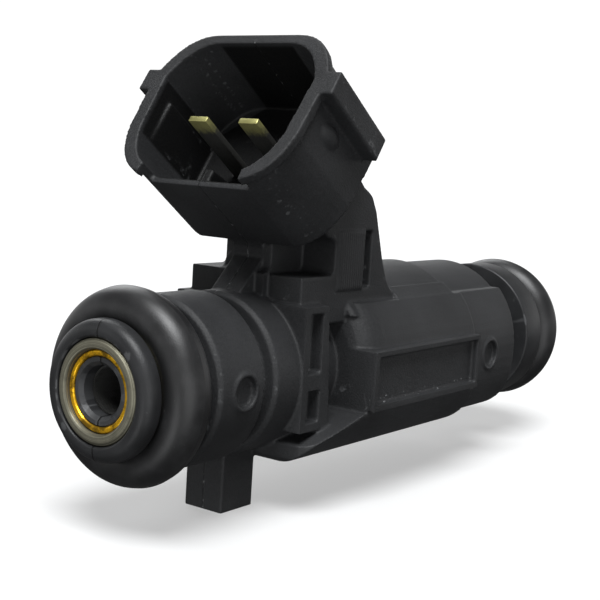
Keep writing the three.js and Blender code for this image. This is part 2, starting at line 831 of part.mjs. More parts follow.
function orificePlate() {
  const disc = rod(plateFront, plateFront + plateThickness, seatBoreRadius - fit);
  const hole = () => {
    const bit = new THREE.CylinderGeometry(sprayHoleRadius, sprayHoleRadius, 3 * plateThickness, 12);
    bit.rotateZ(Math.PI / 2).translate(plateFront + plateThickness / 2, 0, sprayCircle);
    return solid(bit);
  };
  return cut(disc, ...aroundAxis(sprayHoles, hole));
}

function plateRing() {
  return ring(plateRingFront, valveTailBack, seatBoreRadius - fit, plateRingBore);
}

// ---- Assembly --------------------------------------------------------------------------------

const outside = assembly();
piece("overmold_body", housing(), nylon, outside);
piece("inlet_o_ring", seal(0, sealSection, tubeRadius + fit), rubber, outside);
piece("seal_retaining_ring", sealRetainer(), nylon, outside);
piece("outlet_o_ring", seal(sealSpacing, outletSection, valveTailRadius + fit), rubber, outside);
piece("outlet_support_collar", supportCollar(), nylon, outside);
piece("nozzle_cap", nozzleCap(), nylon, outside);

const inlet = assembly();
piece("inlet_tube", inletTube(), steel, inlet);
piece("filter_collar", filterCollar(), brass, inlet);
piece("filter_frame", filterFrame(), nylon, inlet);
piece("filter_mesh", filterMesh(), gauze, inlet);
piece("adjusting_sleeve", adjustingSleeve(), steel, inlet);

const magnet = assembly();
piece("magnet_yoke", magnetYoke(), steel, magnet);
piece("yoke_cover_washer", coverWasher(), steel, magnet);
piece("coil_bobbin", coilBobbin(), insulation, magnet);
piece("coil_winding", coilWinding(), copper, magnet);
piece("nonmagnetic_sleeve", magneticSleeve(), steel, magnet);
piece("terminal_left", blade(-1, 0), tinned, magnet);
piece("terminal_right", blade(1, 0), tinned, magnet);

const valve = assembly();
piece("valve_body", valveBody(), steel, valve);
piece("ball_guide", ballGuide(), steel, valve);
piece("valve_seat", valveSeat(), steel, valve);
piece("orifice_plate", orificePlate(), steel, valve);
piece("plate_retaining_ring", plateRing(), steel, valve);

const needle = assembly();
piece("armature", armature(), steel, needle);
piece("needle_tube", needleTube(), steel, needle);
piece("valve_ball", valveBall(), steel, needle);
piece("return_spring", returnSpring(), steel, needle);

export default injector;
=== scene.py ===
"""A port fuel injector: the pieces that show, with their finishes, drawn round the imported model.

Shapes are drawn in millimetres and shrunk to metres when they are finished. X runs along the injector, from
the fuel inlet to the nozzle, and Z is up. The origin is at the middle of the inlet O-ring.
"""

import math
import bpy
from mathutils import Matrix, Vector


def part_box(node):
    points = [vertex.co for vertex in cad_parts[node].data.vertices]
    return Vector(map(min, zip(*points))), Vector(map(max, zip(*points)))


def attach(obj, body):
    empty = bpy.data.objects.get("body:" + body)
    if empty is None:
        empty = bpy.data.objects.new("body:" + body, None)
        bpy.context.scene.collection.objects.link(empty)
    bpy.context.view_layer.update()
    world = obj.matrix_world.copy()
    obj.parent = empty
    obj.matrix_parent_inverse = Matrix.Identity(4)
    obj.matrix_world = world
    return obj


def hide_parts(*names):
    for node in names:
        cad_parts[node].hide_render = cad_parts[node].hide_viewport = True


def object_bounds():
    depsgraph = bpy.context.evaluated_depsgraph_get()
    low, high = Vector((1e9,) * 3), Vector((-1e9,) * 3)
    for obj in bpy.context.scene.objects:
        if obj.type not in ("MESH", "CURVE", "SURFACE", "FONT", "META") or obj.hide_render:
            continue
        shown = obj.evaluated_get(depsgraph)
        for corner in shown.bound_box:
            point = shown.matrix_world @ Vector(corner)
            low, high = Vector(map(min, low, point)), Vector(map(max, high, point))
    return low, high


bl_info = {
    "name": "Fuel injector",
    "version": (1, 0, 0),
    "blender": (4, 5, 0),
    "location": "View3D > Sidebar > Injector",
    "description": "Builds a port fuel injector, piece by piece, and its studio",
    "category": "Add Mesh",
}

from types import SimpleNamespace

import bpy
from mathutils import Matrix, Vector

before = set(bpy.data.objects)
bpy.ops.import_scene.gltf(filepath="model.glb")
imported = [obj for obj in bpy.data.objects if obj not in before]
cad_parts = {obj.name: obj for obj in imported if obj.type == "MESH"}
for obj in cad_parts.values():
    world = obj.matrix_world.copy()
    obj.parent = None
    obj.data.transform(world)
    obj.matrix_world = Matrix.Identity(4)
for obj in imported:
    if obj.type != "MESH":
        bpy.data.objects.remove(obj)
CAD_BOX = [list(corner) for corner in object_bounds()]

MM = 0.001
WHITE = (1.0, 1.0, 1.0, 1.0)
ROUND_STEPS = 128  # faces round a turned piece
SEAL_STEPS = 160  # and round an O-ring
TINY = 1e-4  # points nearer than this, in millimetres, are one point

# Sizes that several pieces or finishes share, in millimetres
FIT = 0.05  # gap round a piece that is pressed in or moulded over
PAD_FRONT, PAD_BACK, PAD_BOTTOM, PAD_TOP = 18.7, 36.2, -2.9, 2.0
PANEL_FRONT, PANEL_BACK, PANEL_BOTTOM, PANEL_TOP = 17.34, 21.0, 6.67, 11.3
MOUTH_TOP_FLAT, MOUTH_BOTTOM_FLAT = 3.9, 4.8  # half widths of the mouth's flat top and bottom
SHOULDER_DROP, KNEE_RISE = 4.25, 4.3  # heights of its rounded corners
BLADE_TIP = 3.9  # out along the socket's own axis
POLE_STEP, POLE_RADIUS = 12.0, 3.1  # where the tube becomes slimmer, and its radius there
VALVE_NECK_RADIUS = 4.6
CAP_WALL = 1.3


# ---- Sizes ---------------------------------------------------------------------------------------

def cad(node):
    """A node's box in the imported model, in millimetres: its two ends along X and its reach across."""
    low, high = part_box(node)
    return SimpleNamespace(
        x0=low.x / MM, x1=high.x / MM, y0=low.y / MM, y1=high.y / MM, z0=low.z / MM, z1=high.z / MM
    )


def length(name, description, default):
    """A size that a user may change. The default is in millimetres."""
    return bpy.props.FloatProperty(
        name=name, description=description, default=default * MM, unit="LENGTH", precision=5
    )


def tone(name, description, default):
    return bpy.props.FloatVectorProperty(
        name=name, description=description, default=default, subtype="COLOR", size=3, min=0.0, max=1.0
    )


def amount(name, description, default):
    return bpy.props.FloatProperty(
        name=name, description=description, default=default, min=0.0, max=1.0, subtype="FACTOR"
    )


def sizes(group):
    """A property group's values, with its lengths in millimetres."""
    values = {}
    for prop in group.bl_rna.properties:
        if prop.identifier in ("rna_type", "name"):
            continue
        value = getattr(group, prop.identifier)
        values[prop.identifier] = value / MM if prop.unit == "LENGTH" else value
    return SimpleNamespace(**values)


class InjectorHousingSizes(bpy.types.PropertyGroup):
    flange_front: length("Flange front", "Front of the round flange behind the inlet O-ring", 2.5)
    flange_back: length("Flange back", "Back of the flange, where the clip groove starts", 7.64)
    flange_radius: length("Flange radius", "Radius of the flange", 6.55)
    groove_width: length("Groove width", "Width of the clip groove", 1.33)
    groove_radius: length("Groove radius", "Radius at the bottom of the clip groove", 5.2)
    land_radius: length("Land radius", "Radius of the land behind the groove", 6.45)
    land_back: length("Land back", "Back of the land", 15.5)
    body_front: length("Body front", "Front wall of the main body", 18.7)
    body_step: length("Body step", "Where the body becomes slimmer", 36.6)
    body_back: length("Body back", "Back face of the main body", 44.85)
    body_half_width: length("Body half width", "Half the width of the body's front part", 8.4)
    body_depth: length("Body depth", "Depth of the body's front part under the axis", 6.9)
    back_half_width: length("Back half width", "Half the width of the body's back part", 8.2)
    back_depth: length("Back depth", "Depth of the body's back part under the axis", 6.75)
    shoulder_wall: length("Shoulder wall", "Radius where the front wall meets the shoulder", 6.5)
    shoulder_length: length("Shoulder length", "Length of the rounded shoulder", 2.5)
    shelf_height: length("Shelf height", "Height of the flat shelves beside the crown", 5.5)
    crown_radius: length("Crown radius", "Radius of the crown in front of its step", 7.95)
    crown_back_radius: length("Crown back radius", "Radius of the crown behind its step", 7.6)
    crown_step: length("Crown step", "Where the crown steps down", 35.3)
    neck_radius: length("Neck radius", "Radius of the neck towards the nozzle", 5.5)
    neck_back: length("Neck back", "Back of the neck", 50.0)
    shell_half_width: length("Shell half width", "Half the width of the thick lower shell", 8.7)
    shell_depth: length("Shell depth", "Depth of the lower shell under the axis", 7.15)
    shell_front: length("Shell front", "Front of the lower shell's nose", 12.3)
    shell_top: length("Shell top", "Top edge of the lower shell", -3.1)
    post_front: length("Post front", "Front of the locating post", 8.91)
    post_length: length("Post length", "Length of the locating post along the axis", 3.82)
    post_width: length("Post width", "Width of the locating post", 3.75)
    post_depth: length("Post depth", "How far the post reaches under the axis", 10.83)
    wing_half_width: length("Wing half width", "Half the width of the pocketed wing plate", 6.6)
    pad_half_width: length("Pad half width", "Half the width over the two marking pads", 9.0)
    pad_recess: length("Pad recess", "Depth of the pads' plain panels", 0.6)
    pad_rim: length("Pad rim", "Width of the frame round each panel", 0.5)
    grain: length("Grain", "Size of the mesh that the housing is poured into", 0.12)
    softness: bpy.props.IntProperty(
        name="Softness", description="Rounds of smoothing on the moulded edges", default=1, min=0, max=20
    )
    detail: amount("Detail", "Share of the poured mesh's faces that is kept", 0.3)


class InjectorSocketSizes(bpy.types.PropertyGroup):
    tilt: bpy.props.FloatProperty(
        name="Tilt", description="How far the socket's mouth looks up", default=math.radians(35.0),
        subtype="ANGLE",
    )
    mouth: length("Mouth", "Distance of the rim along the socket's own axis", 4.7)
    depth: length("Depth", "Depth of the socket, from rim to back", 9.2)
    floor: length("Floor", "Thickness of the socket's back wall", 1.2)
    top: length("Top", "Top of the rim, up the mouth", 28.65)
    bottom: length("Bottom", "Bottom of the rim, up the mouth", 15.2)
    half_width: length("Half width", "Half the width of the rim", 8.45)
    side_wall: length("Side wall", "Thickness of the side walls at the rim", 1.2)
    top_wall: length("Top wall", "Thickness of the top wall at the rim", 0.88)
    bottom_wall: length("Bottom wall", "Thickness of the tongue under the mouth", 0.8)
    rim_depth: length("Rim depth", "Depth of the band round the mouth", 0.8)
    rim_step: length("Rim step", "How far the band stands out from the walls", 0.3)
    tongue_setback: length("Tongue setback", "How far the tongue stops behind the rim", 1.7)
    rail_reach: length("Rail reach", "Half the width over the two side rails", 9.45)
    pylon_half_width: length("Pylon half width", "Half the width of the pylon under the socket", 5.6)
    blade_width: length("Blade width", "Width of each contact blade", 1.8)
    blade_thickness: length("Blade thickness", "Thickness of each contact blade", 0.5)


class InjectorFinishes(bpy.types.PropertyGroup):
    nylon: tone("Nylon", "Colour of the moulded housing", (0.0135, 0.0138, 0.0146))
    nylon_pale: tone("Pale nylon", "Colour of its glass flecks and scuffed edges", (0.19, 0.195, 0.2))
    nylon_roughness: amount("Nylon roughness", "Roughness of the housing", 0.56)
    rubber: tone("Rubber", "Colour of the O-rings", (0.0105, 0.0105, 0.011))
    rubber_roughness: amount("Rubber roughness", "Roughness of the O-rings", 0.4)
    plastic_shine: amount("Plastic shine", "Strength of the plastics' reflections", 0.2)
    rubber_shine: amount("Rubber shine", "Strength of the rubber's reflections", 0.3)
    steel: tone("Steel", "Colour of the turned steel", (0.18, 0.172, 0.13))
    brass: tone("Brass", "Colour of the filter's collar", (0.72, 0.40, 0.015))
    tin: tone("Tin", "Colour of the blades' plating", (0.42, 0.4, 0.16))
    tin_dull: tone("Dull tin", "Colour of the blades' dull flanks", (0.075, 0.075, 0.07))
    copper: tone("Copper", "Colour of the winding", (0.5, 0.17, 0.07))


class InjectorStudio(bpy.types.PropertyGroup):
    azimuth: bpy.props.FloatProperty(
        name="Azimuth", description="Camera's direction round the injector", default=math.radians(-54.08),
        subtype="ANGLE",
    )
    elevation: bpy.props.FloatProperty(
        name="Elevation", description="Camera's height above the horizon", default=math.radians(6.9),
        subtype="ANGLE",
    )
    roll: bpy.props.FloatProperty(
        name="Roll", description="Camera's turn about its own axis", default=math.radians(3.6),
        subtype="ANGLE",
    )
    camera: bpy.props.FloatVectorProperty(
        name="Camera", description="Place of the camera", default=(-0.061197, -0.058956, 0.017173),
        subtype="TRANSLATION", unit="LENGTH", size=3,
    )
    lens: bpy.props.FloatProperty(name="Lens", description="Focal length in millimetres", default=72.0)
    floor: tone("Floor", "Colour of the floor", (0.27, 0.27, 0.27))
    floor_glow: amount("Floor glow", "How bright the floor is by itself", 0.42)
    horizon: amount("Horizon", "Strength of the soft light from the sides", 1.0)
    sky: amount("Sky", "Strength of the soft light from above and below", 0.08)


# ---- Drawing -------------------------------------------------------------------------------------

def select_only(piece):
    if bpy.context.object and bpy.context.object.mode != "OBJECT":
        bpy.ops.object.mode_set(mode="OBJECT")
    bpy.ops.object.select_all(action="DESELECT")
    if piece is not None:
        piece.select_set(True)
        bpy.context.view_layer.objects.active = piece


def edit(piece):
    select_only(piece)
    bpy.ops.object.mode_set(mode="EDIT")
    bpy.ops.mesh.select_all(action="SELECT")


def in_plane(plane, a, b):
    """A point of a plane, as a point of space."""
    places = {"XZ": (a, 0.0, b), "YZ": (0.0, a, b), "XY": (a, b, 0.0)}
    return Vector(places[plane])


def draw(points, plane, closed=True):
    """Extrudes a single vertex along an outline, and leaves it in edit mode, all selected."""
    select_only(None)
    bpy.ops.mesh.primitive_plane_add(size=1)
    bpy.ops.object.mode_set(mode="EDIT")
    bpy.ops.mesh.select_all(action="SELECT")
    bpy.ops.mesh.merge(type="CENTER")
    path = [in_plane(plane, *point) for point in points]
    if closed:
        path.append(path[0])
    bpy.ops.transform.translate(value=path[0])
    for before, after in zip(path, path[1:]):
        bpy.ops.mesh.extrude_vertices_move(TRANSFORM_OT_translate={"value": after - before})
    tidy_points()
    return bpy.context.object


def tidy_points():
    bpy.ops.mesh.select_all(action="SELECT")
    bpy.ops.mesh.remove_doubles(threshold=TINY)
    bpy.ops.mesh.select_all(action="SELECT")


def close_up(piece):
    """Merges a drawn shape's doubles, turns its faces outwards and leaves edit mode."""
    tidy_points()
    bpy.ops.mesh.normals_make_consistent(inside=False)
    bpy.ops.object.mode_set(mode="OBJECT")
    return piece


def prism(points, plane, low, high):
    """An outline made thick across its plane, from low to high."""
    piece = draw(points, plane)
    across = {"XZ": Vector((0, 1, 0)), "YZ": Vector((1, 0, 0)), "XY": Vector((0, 0, 1))}[plane]
    bpy.ops.mesh.edge_face_add()
    bpy.ops.transform.translate(value=across * low)
    bpy.ops.mesh.extrude_region_move(TRANSFORM_OT_translate={"value": across * (high - low)})
    return close_up(piece)


def turned(outline, steps=ROUND_STEPS):
    """An outline of (x, radius) points spun round the injector's axis."""
    on_axis = outline[0][1] == 0 and outline[-1][1] == 0
    piece = draw(outline, "XZ", closed=not on_axis)
    bpy.ops.mesh.spin(steps=steps, angle=2 * math.pi, center=(0, 0, 0), axis=(1, 0, 0))
    return close_up(piece)


def block(x0, x1, y0, y1, z0, z1):
    select_only(None)
    middle = ((x0 + x1) / 2, (y0 + y1) / 2, (z0 + z1) / 2)
    bpy.ops.mesh.primitive_cube_add(size=1, location=middle, scale=(x1 - x0, y1 - y0, z1 - z0))
    bpy.ops.object.transform_apply(location=True, rotation=True, scale=True)
    return bpy.context.object


def both_sides(x0, x1, y0, y1, z0, z1):
    """A block on the near flank and its mirror image on the far one."""
    return [block(x0, x1, y0, y1, z0, z1), block(x0, x1, -y1, -y0, z0, z1)]


def rod(x0, x1, radius, steps=ROUND_STEPS):
    return turned([(x0, 0), (x0, radius), (x1, radius), (x1, 0)], steps)


def place(piece, matrix):
    select_only(piece)
    piece.matrix_world = matrix
    bpy.ops.object.transform_apply(location=True, rotation=True, scale=True)
    return piece


def apply(piece, kind, **settings):
    """Adds a modifier to a piece and applies it."""
    select_only(piece)
    modifier = piece.modifiers.new(kind.title(), kind)
    for name, value in settings.items():
        setattr(modifier, name, value)
    bpy.ops.object.modifier_apply(modifier=modifier.name)
    return piece


def combine(piece, tools, operation):
    """Joins, cuts or crosses a piece with other solids, which are used up."""
    for tool in tools:
        apply(piece, "BOOLEAN", operation=operation, object=tool, solver="MANIFOLD")
        bpy.data.meshes.remove(tool.data)
    return piece


def join(piece, *others):
    return combine(piece, others, "UNION")


def cut(piece, *others):
    return combine(piece, others, "DIFFERENCE")


def cross(piece, *others):
    return combine(piece, others, "INTERSECT")


def broken_edges(piece, width, segments=3):
    """Rounds a piece's sharp edges."""
    return apply(
        piece, "BEVEL", width=width, segments=segments, limit_method="ANGLE",
        angle_limit=math.radians(28), miter_outer="MITER_ARC", use_clamp_overlap=True,
    )


def curve(start, pull, end, steps=8):
    """Points from start to end, bent towards pull."""
    points = []
    for i in range(steps + 1):
        t = i / steps
        points.append(tuple(
            (1 - t) ** 2 * a + 2 * t * (1 - t) * b + t * t * c for a, b, c in zip(start, pull, end)
        ))
    return points


def quarter(steps=6):
    """Shares of the way in and up along a quarter circle."""
    turns = [math.pi / 2 * i / steps for i in range(steps + 1)]
    return [(1 - math.cos(a), 1 - math.sin(a)) for a in turns]


def finish(piece, name, material, body, slot, *nodes, angle=35):
    """Shrinks a drawn piece to metres, and gives it its name, finish, body and place in the model."""
    piece.name = name
    piece.data.name = name
    piece.scale = (MM, MM, MM)
    select_only(piece)
    bpy.ops.object.transform_apply(location=True, rotation=True, scale=True)
    bpy.ops.object.shade_smooth_by_angle(angle=math.radians(angle))
    piece.data.materials.clear()
    piece.data.materials.append(material)
    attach(piece, body)
    if nodes:
        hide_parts(*nodes)
    return piece


# ---- Finishes ------------------------------------------------------------------------------------

class Link:
    """A number on its way through a material. Arithmetic on it adds Math nodes."""

    def __init__(self, paint, socket):
        self.paint = paint
        self.socket = socket

    def _maths(self, operation, a, b):
        return self.paint.node("ShaderNodeMath", {"operation": operation}, {0: a, 1: b})

    def __add__(self, other):
        return self._maths("ADD", self, other)

    def __radd__(self, other):
        return self._maths("ADD", other, self)

    def __sub__(self, other):
        return self._maths("SUBTRACT", self, other)

    def __rsub__(self, other):
        return self._maths("SUBTRACT", other, self)

    def __mul__(self, other):
        return self._maths("MULTIPLY", self, other)

    def __truediv__(self, other):
        return self._maths("DIVIDE", self, other)

    def __pow__(self, other):
        return self._maths("POWER", self, other)

    def __abs__(self):
        return self._maths("ABSOLUTE", self, 0.0)


class Paint:
    """A material, or the sky, and the ways of adding to its nodes."""

    def __init__(self, name, owners="materials", space="Object"):
        self.material = getattr(bpy.data, owners).new(name)
        self.material.use_nodes = True
        self.tree = self.material.node_tree
        self.tree.nodes.clear()
        self.place = self.node("ShaderNodeTexCoord", {}, {}, space)
        axes = self.tree.nodes.new("ShaderNodeSeparateXYZ")
        self.tree.links.new(self.place.socket, axes.inputs[0])
        self.x, self.y, self.z = (Link(self, axes.outputs[i]) for i in range(3))

    def node(self, kind, settings, values, output=0):
        """Adds one node: its settings first, then the values or links of its sockets."""
        made = self.tree.nodes.new(kind)
        for name, value in settings.items():
            setattr(made, name, value)
        for socket, value in values.items():
            if isinstance(value, Link):
                self.tree.links.new(value.socket, made.inputs[socket])
            else:
                made.inputs[socket].default_value = value
        return Link(self, made.outputs[output]) if made.outputs else made

    def noise(self, size, detail=3.0, roughness=0.5, stretch=(1.0, 1.0, 1.0)):
        """Cloudy noise from 0 to 1, with patches of about this size in millimetres."""
        where = self.place
        if stretch != (1.0, 1.0, 1.0):
            where = self.node("ShaderNodeMapping", {}, {"Vector": self.place, "Scale": stretch})
        values = {"Vector": where, "Scale": 1 / (size * MM), "Detail": detail, "Roughness": roughness}
        return self.node("ShaderNodeTexNoise", {}, values)

    def cells(self, size):
        """Distance from scattered points about this far apart in millimetres."""
        return self.node("ShaderNodeTexVoronoi", {}, {"Vector": self.place, "Scale": 1 / (size * MM)})

    def step(self, value, low, high, start=0.0, end=1.0):
        """Start below low, end above high, and a smooth change between them."""
        return self.node(
            "ShaderNodeMapRange", {"interpolation_type": "SMOOTHSTEP"},
            {0: value, 1: low, 2: high, 3: start, 4: end},
        )

    def band(self, value, low, high, soft):
        """1 between low and high, fading to 0 over soft on either side."""
        return self.step(value, low - soft, low) * self.step(value, high, high + soft, 1.0, 0.0)

    def mix(self, share, first, second):
        """Colours mixed by a share."""
        first = first if isinstance(first, Link) else (*first, 1.0)
        second = second if isinstance(second, Link) else (*second, 1.0)
        return self.node("ShaderNodeMix", {"data_type": "RGBA"}, {0: share, 6: first, 7: second}, 2)

    def waves(self, value, pitch):
        """A sine wave of this pitch, from -1 to 1."""
        return self.node("ShaderNodeMath", {"operation": "SINE"}, {0: value * (2 * math.pi / pitch)})

    def radius(self):
        """Distance from the injector's axis."""
        return (self.y ** 2.0 + self.z ** 2.0) ** 0.5

    def edges(self, low, high):
        """Where the surface is sharply convex."""
        return self.step(self.node("ShaderNodeNewGeometry", {}, {}, "Pointiness"), low, high)

    def bump(self, height, depth, before=None):
        """A normal roughened by a height of this many millimetres."""
        values = {"Height": height, "Strength": 1.0, "Distance": depth * MM}
        if before is not None:
            values["Normal"] = before
        return self.node("ShaderNodeBump", {}, values)

    def surface(self, **sockets):
        """Ends the material in one shader. A name's underscores stand for spaces."""
        values = {}
        for name, value in sockets.items():
            if name == "Base_Color" and not isinstance(value, Link):
                value = (*value, 1.0)
            values[name.replace("_", " ")] = value
        shader = self.node("ShaderNodeBsdfPrincipled", {}, values)
        self.node("ShaderNodeOutputMaterial", {}, {"Surface": shader})
        return self.material


def shades(colour, *factors):
    """The same colour, darker or paler."""
    return [tuple(channel * factor for channel in colour) for factor in factors]


def painted_socket_shade_mask(p, socket):
    """1 on the faces inside the socket and 0 outside it: the mask for the shade painted inside the socket.
    """
    side = abs(p.y) / MM
    out = (p.z * math.sin(socket.tilt) - p.x * math.cos(socket.tilt)) / MM
    up = (p.x * math.sin(socket.tilt) + p.z * math.cos(socket.tilt)) / MM
    wall, rear = socket.half_width - socket.side_wall, socket.mouth - socket.depth
    inside = p.band(up, socket.bottom + socket.bottom_wall - 0.1, socket.top - socket.top_wall + 0.08, 0.05)
    inside *= p.step(side, wall + 0.05, wall + 0.15, 1.0, 0.0)
    inside *= p.step(out, socket.mouth - 0.6, socket.mouth - 0.2, 1.0, 0.0)
    inside *= p.step(out, rear - 0.1, rear)
    # Nearness to the rounded corners: 1 is on their outer skin.
    shoulder, knee = socket.top - SHOULDER_DROP, socket.bottom + KNEE_RISE
    high = (side - MOUTH_TOP_FLAT) / (socket.half_width - MOUTH_TOP_FLAT) + (up - shoulder) / SHOULDER_DROP
    low = (side - MOUTH_BOTTOM_FLAT) / (socket.half_width - MOUTH_BOTTOM_FLAT) + (knee - up) / KNEE_RISE
    return inside * p.step(high, 0.68, 0.72, 1.0, 0.0) * p.step(low, 0.64, 0.7, 1.0, 0.0)


def pad_flecks(p, housing):
    """Broken flash along the lower edges of the marking pads' recesses."""
    face = housing.pad_half_width - housing.pad_recess
    beside = p.band(abs(p.y), (face - 0.12) * MM, (face + 0.12) * MM, 0.1 * MM)
    along = p.band(p.x, PAD_FRONT * MM, PAD_BACK * MM, 0.2 * MM)
    low = p.band(p.z, PAD_BOTTOM * MM, (PAD_BOTTOM + 1.0) * MM, 0.1 * MM)
    return beside * along * low * p.step(p.noise(0.3, 3.0, 0.7), 0.6, 0.68)


def panel_ribs(p):
    """Fine upright ribs on the pylon's panels."""
    along = p.band(p.x, (PANEL_FRONT + 0.06) * MM, (PANEL_BACK - 0.05) * MM, 0.05 * MM)
    high = p.band(p.z, (PANEL_BOTTOM + 0.08) * MM, (PANEL_TOP - 0.1) * MM, 0.05 * MM)
    return along * high * p.waves(p.x, 0.3 * MM)


def moulded_nylon(look, housing, socket):
    """Glass-filled nylon: matt, finely grained, with pale flecks, scuffed edges and mould seams.

    Inside the socket its colour is painted far darker: painted shade.
    """
    p = Paint("moulded_nylon")
    dark, pale = shades(look.nylon, 0.78, 1.3)
    # The seam colour, and a far darker colour that is painted shade for the inside of the socket.
    seam_colour, painted_socket_shade = shades(look.nylon, 0.35, 0.12)
    grain = p.noise(0.16, 3.0, 0.65)
    fibres = p.step(p.noise(0.22, 2.0, 0.7, (1.0, 3.0, 3.0)), 0.66, 0.76)
    specks = p.step(p.cells(0.9), 0.03, 0.09, 1.0, 0.0) * p.step(p.noise(2.0), 0.5, 0.62)
    worn = p.edges(0.56, 0.66) * p.step(p.noise(0.7, 4.0, 0.7), 0.42, 0.66)
    seam = p.band(p.y, -0.05 * MM, 0.05 * MM, 0.05 * MM)
    flash = seam * p.step(p.noise(0.35, 3.0, 0.7), 0.56, 0.66)
    body = p.mix(p.step(p.noise(6.0, 4.0) * 0.5 + grain * 0.5, 0.35, 0.65), dark, pale)
    body = p.mix(seam * 0.6, body, seam_colour)
    # Painted shade: the base colour is made far darker inside the socket.
    body = p.mix(painted_socket_shade_mask(p, socket), body, painted_socket_shade)
    marks = fibres * 0.10 + specks * 0.1 + worn * 0.28 + flash * 0.6 + pad_flecks(p, housing) * 0.9
    colour = p.mix(p.step(marks, 0.0, 1.0), body, look.nylon_pale)
    roughness = look.nylon_roughness + (grain - 0.5) * 0.22 + worn * -0.08
    flow = p.noise(1.1, 3.0, 0.5, (0.35, 1.0, 1.0))
    normal = p.bump(grain + flow * 0.8 + fibres * 0.3, 0.035)
    normal = p.bump(seam * p.step(p.noise(1.5), 0.3, 0.5) + panel_ribs(p) * 0.16, 0.05, normal)
    return p.surface(
        Base_Color=colour, Roughness=roughness, Specular_IOR_Level=look.plastic_shine, Normal=normal
    )


def ring_plastic(look):
    """Unfilled plastic of the loose rings: smoother than the housing, with fine turning marks."""
    p = Paint("ring_plastic")
    dark, pale = shades(look.nylon, 0.75, 1.15)
    grain = p.noise(0.12, 3.0, 0.6)
    seam = p.band(p.y, -0.04 * MM, 0.04 * MM, 0.05 * MM)
    nicks = p.step(p.noise(0.5, 4.0, 0.75), 0.66, 0.74)
    colour = p.mix(p.step(p.noise(3.0), 0.3, 0.7), dark, pale)
    colour = p.mix(nicks * 0.25 + p.edges(0.53, 0.6) * 0.15, colour, look.nylon_pale)
    colour = p.mix(seam, colour, shades(look.nylon, 0.2)[0])
    normal = p.bump(grain - seam * 5.0, 0.015)
    return p.surface(
        Base_Color=colour, Roughness=0.42 + (grain - 0.5) * 0.15,
        Specular_IOR_Level=look.plastic_shine, Normal=normal,
    )


def seal_rubber(look):
    """Smooth black rubber with a soft sheen, dust and a faint bloom."""
    p = Paint("seal_rubber")
    dark, pale = shades(look.rubber, 0.8, 1.5)
    bloom = p.step(p.noise(2.5, 4.0, 0.6), 0.4, 0.75)
    dust = p.step(p.noise(0.14, 2.0, 0.6), 0.7, 0.78) * p.step(p.noise(1.8), 0.45, 0.65)
    fine = p.noise(0.1, 3.0, 0.6)
    colour = p.mix(bloom, dark, pale)
    colour = p.mix(dust * 0.35, colour, (0.25, 0.25, 0.24))
    roughness = look.rubber_roughness + bloom * 0.08 + dust * 0.2 + (fine - 0.5) * 0.1
    normal = p.bump(fine + dust * 2.0, 0.008)
    return p.surface(
        Base_Color=colour, Roughness=roughness, Specular_IOR_Level=look.rubber_shine, Normal=normal
    )


def turned_steel(look):
    """Dull turned steel with fine rings and a few stains."""
    p = Paint("turned_steel")
    rings = p.node(
        "ShaderNodeTexNoise", {"noise_dimensions": "1D"},
        {"W": p.radius() + p.x * 0.7, "Scale": 9 / MM, "Detail": 3.0},
    )
    stains = p.step(p.noise(0.9, 4.0, 0.65), 0.42, 0.7)
    dark, pale = shades(look.steel, 0.55, 1.15)
    colour = p.mix(p.step(rings, 0.35, 0.65), dark, pale)
    colour = p.mix(stains * 0.45, colour, shades(look.steel, 0.35)[0])
    roughness = 0.46 + rings * 0.16 + stains * 0.14
    return p.surface(
        Base_Color=colour, Roughness=roughness, Metallic=0.9, Normal=p.bump(rings, 0.012)
    )


def filter_brass(look):
    """Bright amber brass, worn and darker in patches."""
    p = Paint("filter_brass")
    tarnish = p.step(p.noise(1.5, 4.0, 0.7), 0.42, 0.6)
    scratches = p.noise(0.12, 3.0, 0.7, (3.0, 0.6, 1.0))
    dark, pale = shades(look.brass, 0.22, 1.2)
    colour = p.mix(tarnish, pale, dark)
    roughness = 0.24 + tarnish * 0.22 + scratches * 0.1
    return p.surface(
        Base_Color=colour, Roughness=roughness, Metallic=0.85, Normal=p.bump(scratches, 0.01)
    )


def blade_plating(look, socket):
    """Tin plating: pale gold at the tip and darker further into the socket."""
    p = Paint("blade_plating")
    out = p.z * math.sin(socket.tilt) - p.x * math.cos(socket.tilt)
    towards_tip = p.step(out, (socket.mouth - socket.depth + socket.floor) * MM, BLADE_TIP * MM)
    streaks = p.noise(0.25, 3.0, 0.7, (0.5, 2.0, 0.5))
    mask = p.step(towards_tip + (streaks - 0.5) * 0.16, 0.86, 1.0)
    colour = p.mix(mask, look.tin_dull, look.tin)
    spots = p.step(p.noise(0.3, 4.0, 0.7), 0.6, 0.7)
    colour = p.mix(spots * 0.4, colour, shades(look.tin_dull, 0.5)[0])
    roughness = 0.3 + streaks * 0.2
    return p.surface(
        Base_Color=colour, Roughness=roughness, Metallic=0.85, Normal=p.bump(streaks, 0.01)
    )


def copper_wire(look):
    """Enamelled wire: glossy copper that varies a little from turn to turn."""
    p = Paint("copper_wire")
    turns = p.noise(0.3, 1.0, 0.5, (1.0, 0.05, 0.05))
    dark, pale = shades(look.copper, 0.6, 1.2)
    return p.surface(
        Base_Color=p.mix(turns, dark, pale), Roughness=0.26 + turns * 0.1, Metallic=0.7, Coat_Weight=0.5,
        Normal=p.bump(p.noise(0.2), 0.01),
    )


def bobbin_plastic():
    p = Paint("bobbin_plastic")
    grain = p.noise(0.2, 3.0, 0.6)
    colour = p.mix(p.noise(2.0), (0.12, 0.075, 0.045), (0.2, 0.13, 0.08))
    return p.surface(Base_Color=colour, Roughness=0.45 + grain * 0.1, Normal=p.bump(grain, 0.01))


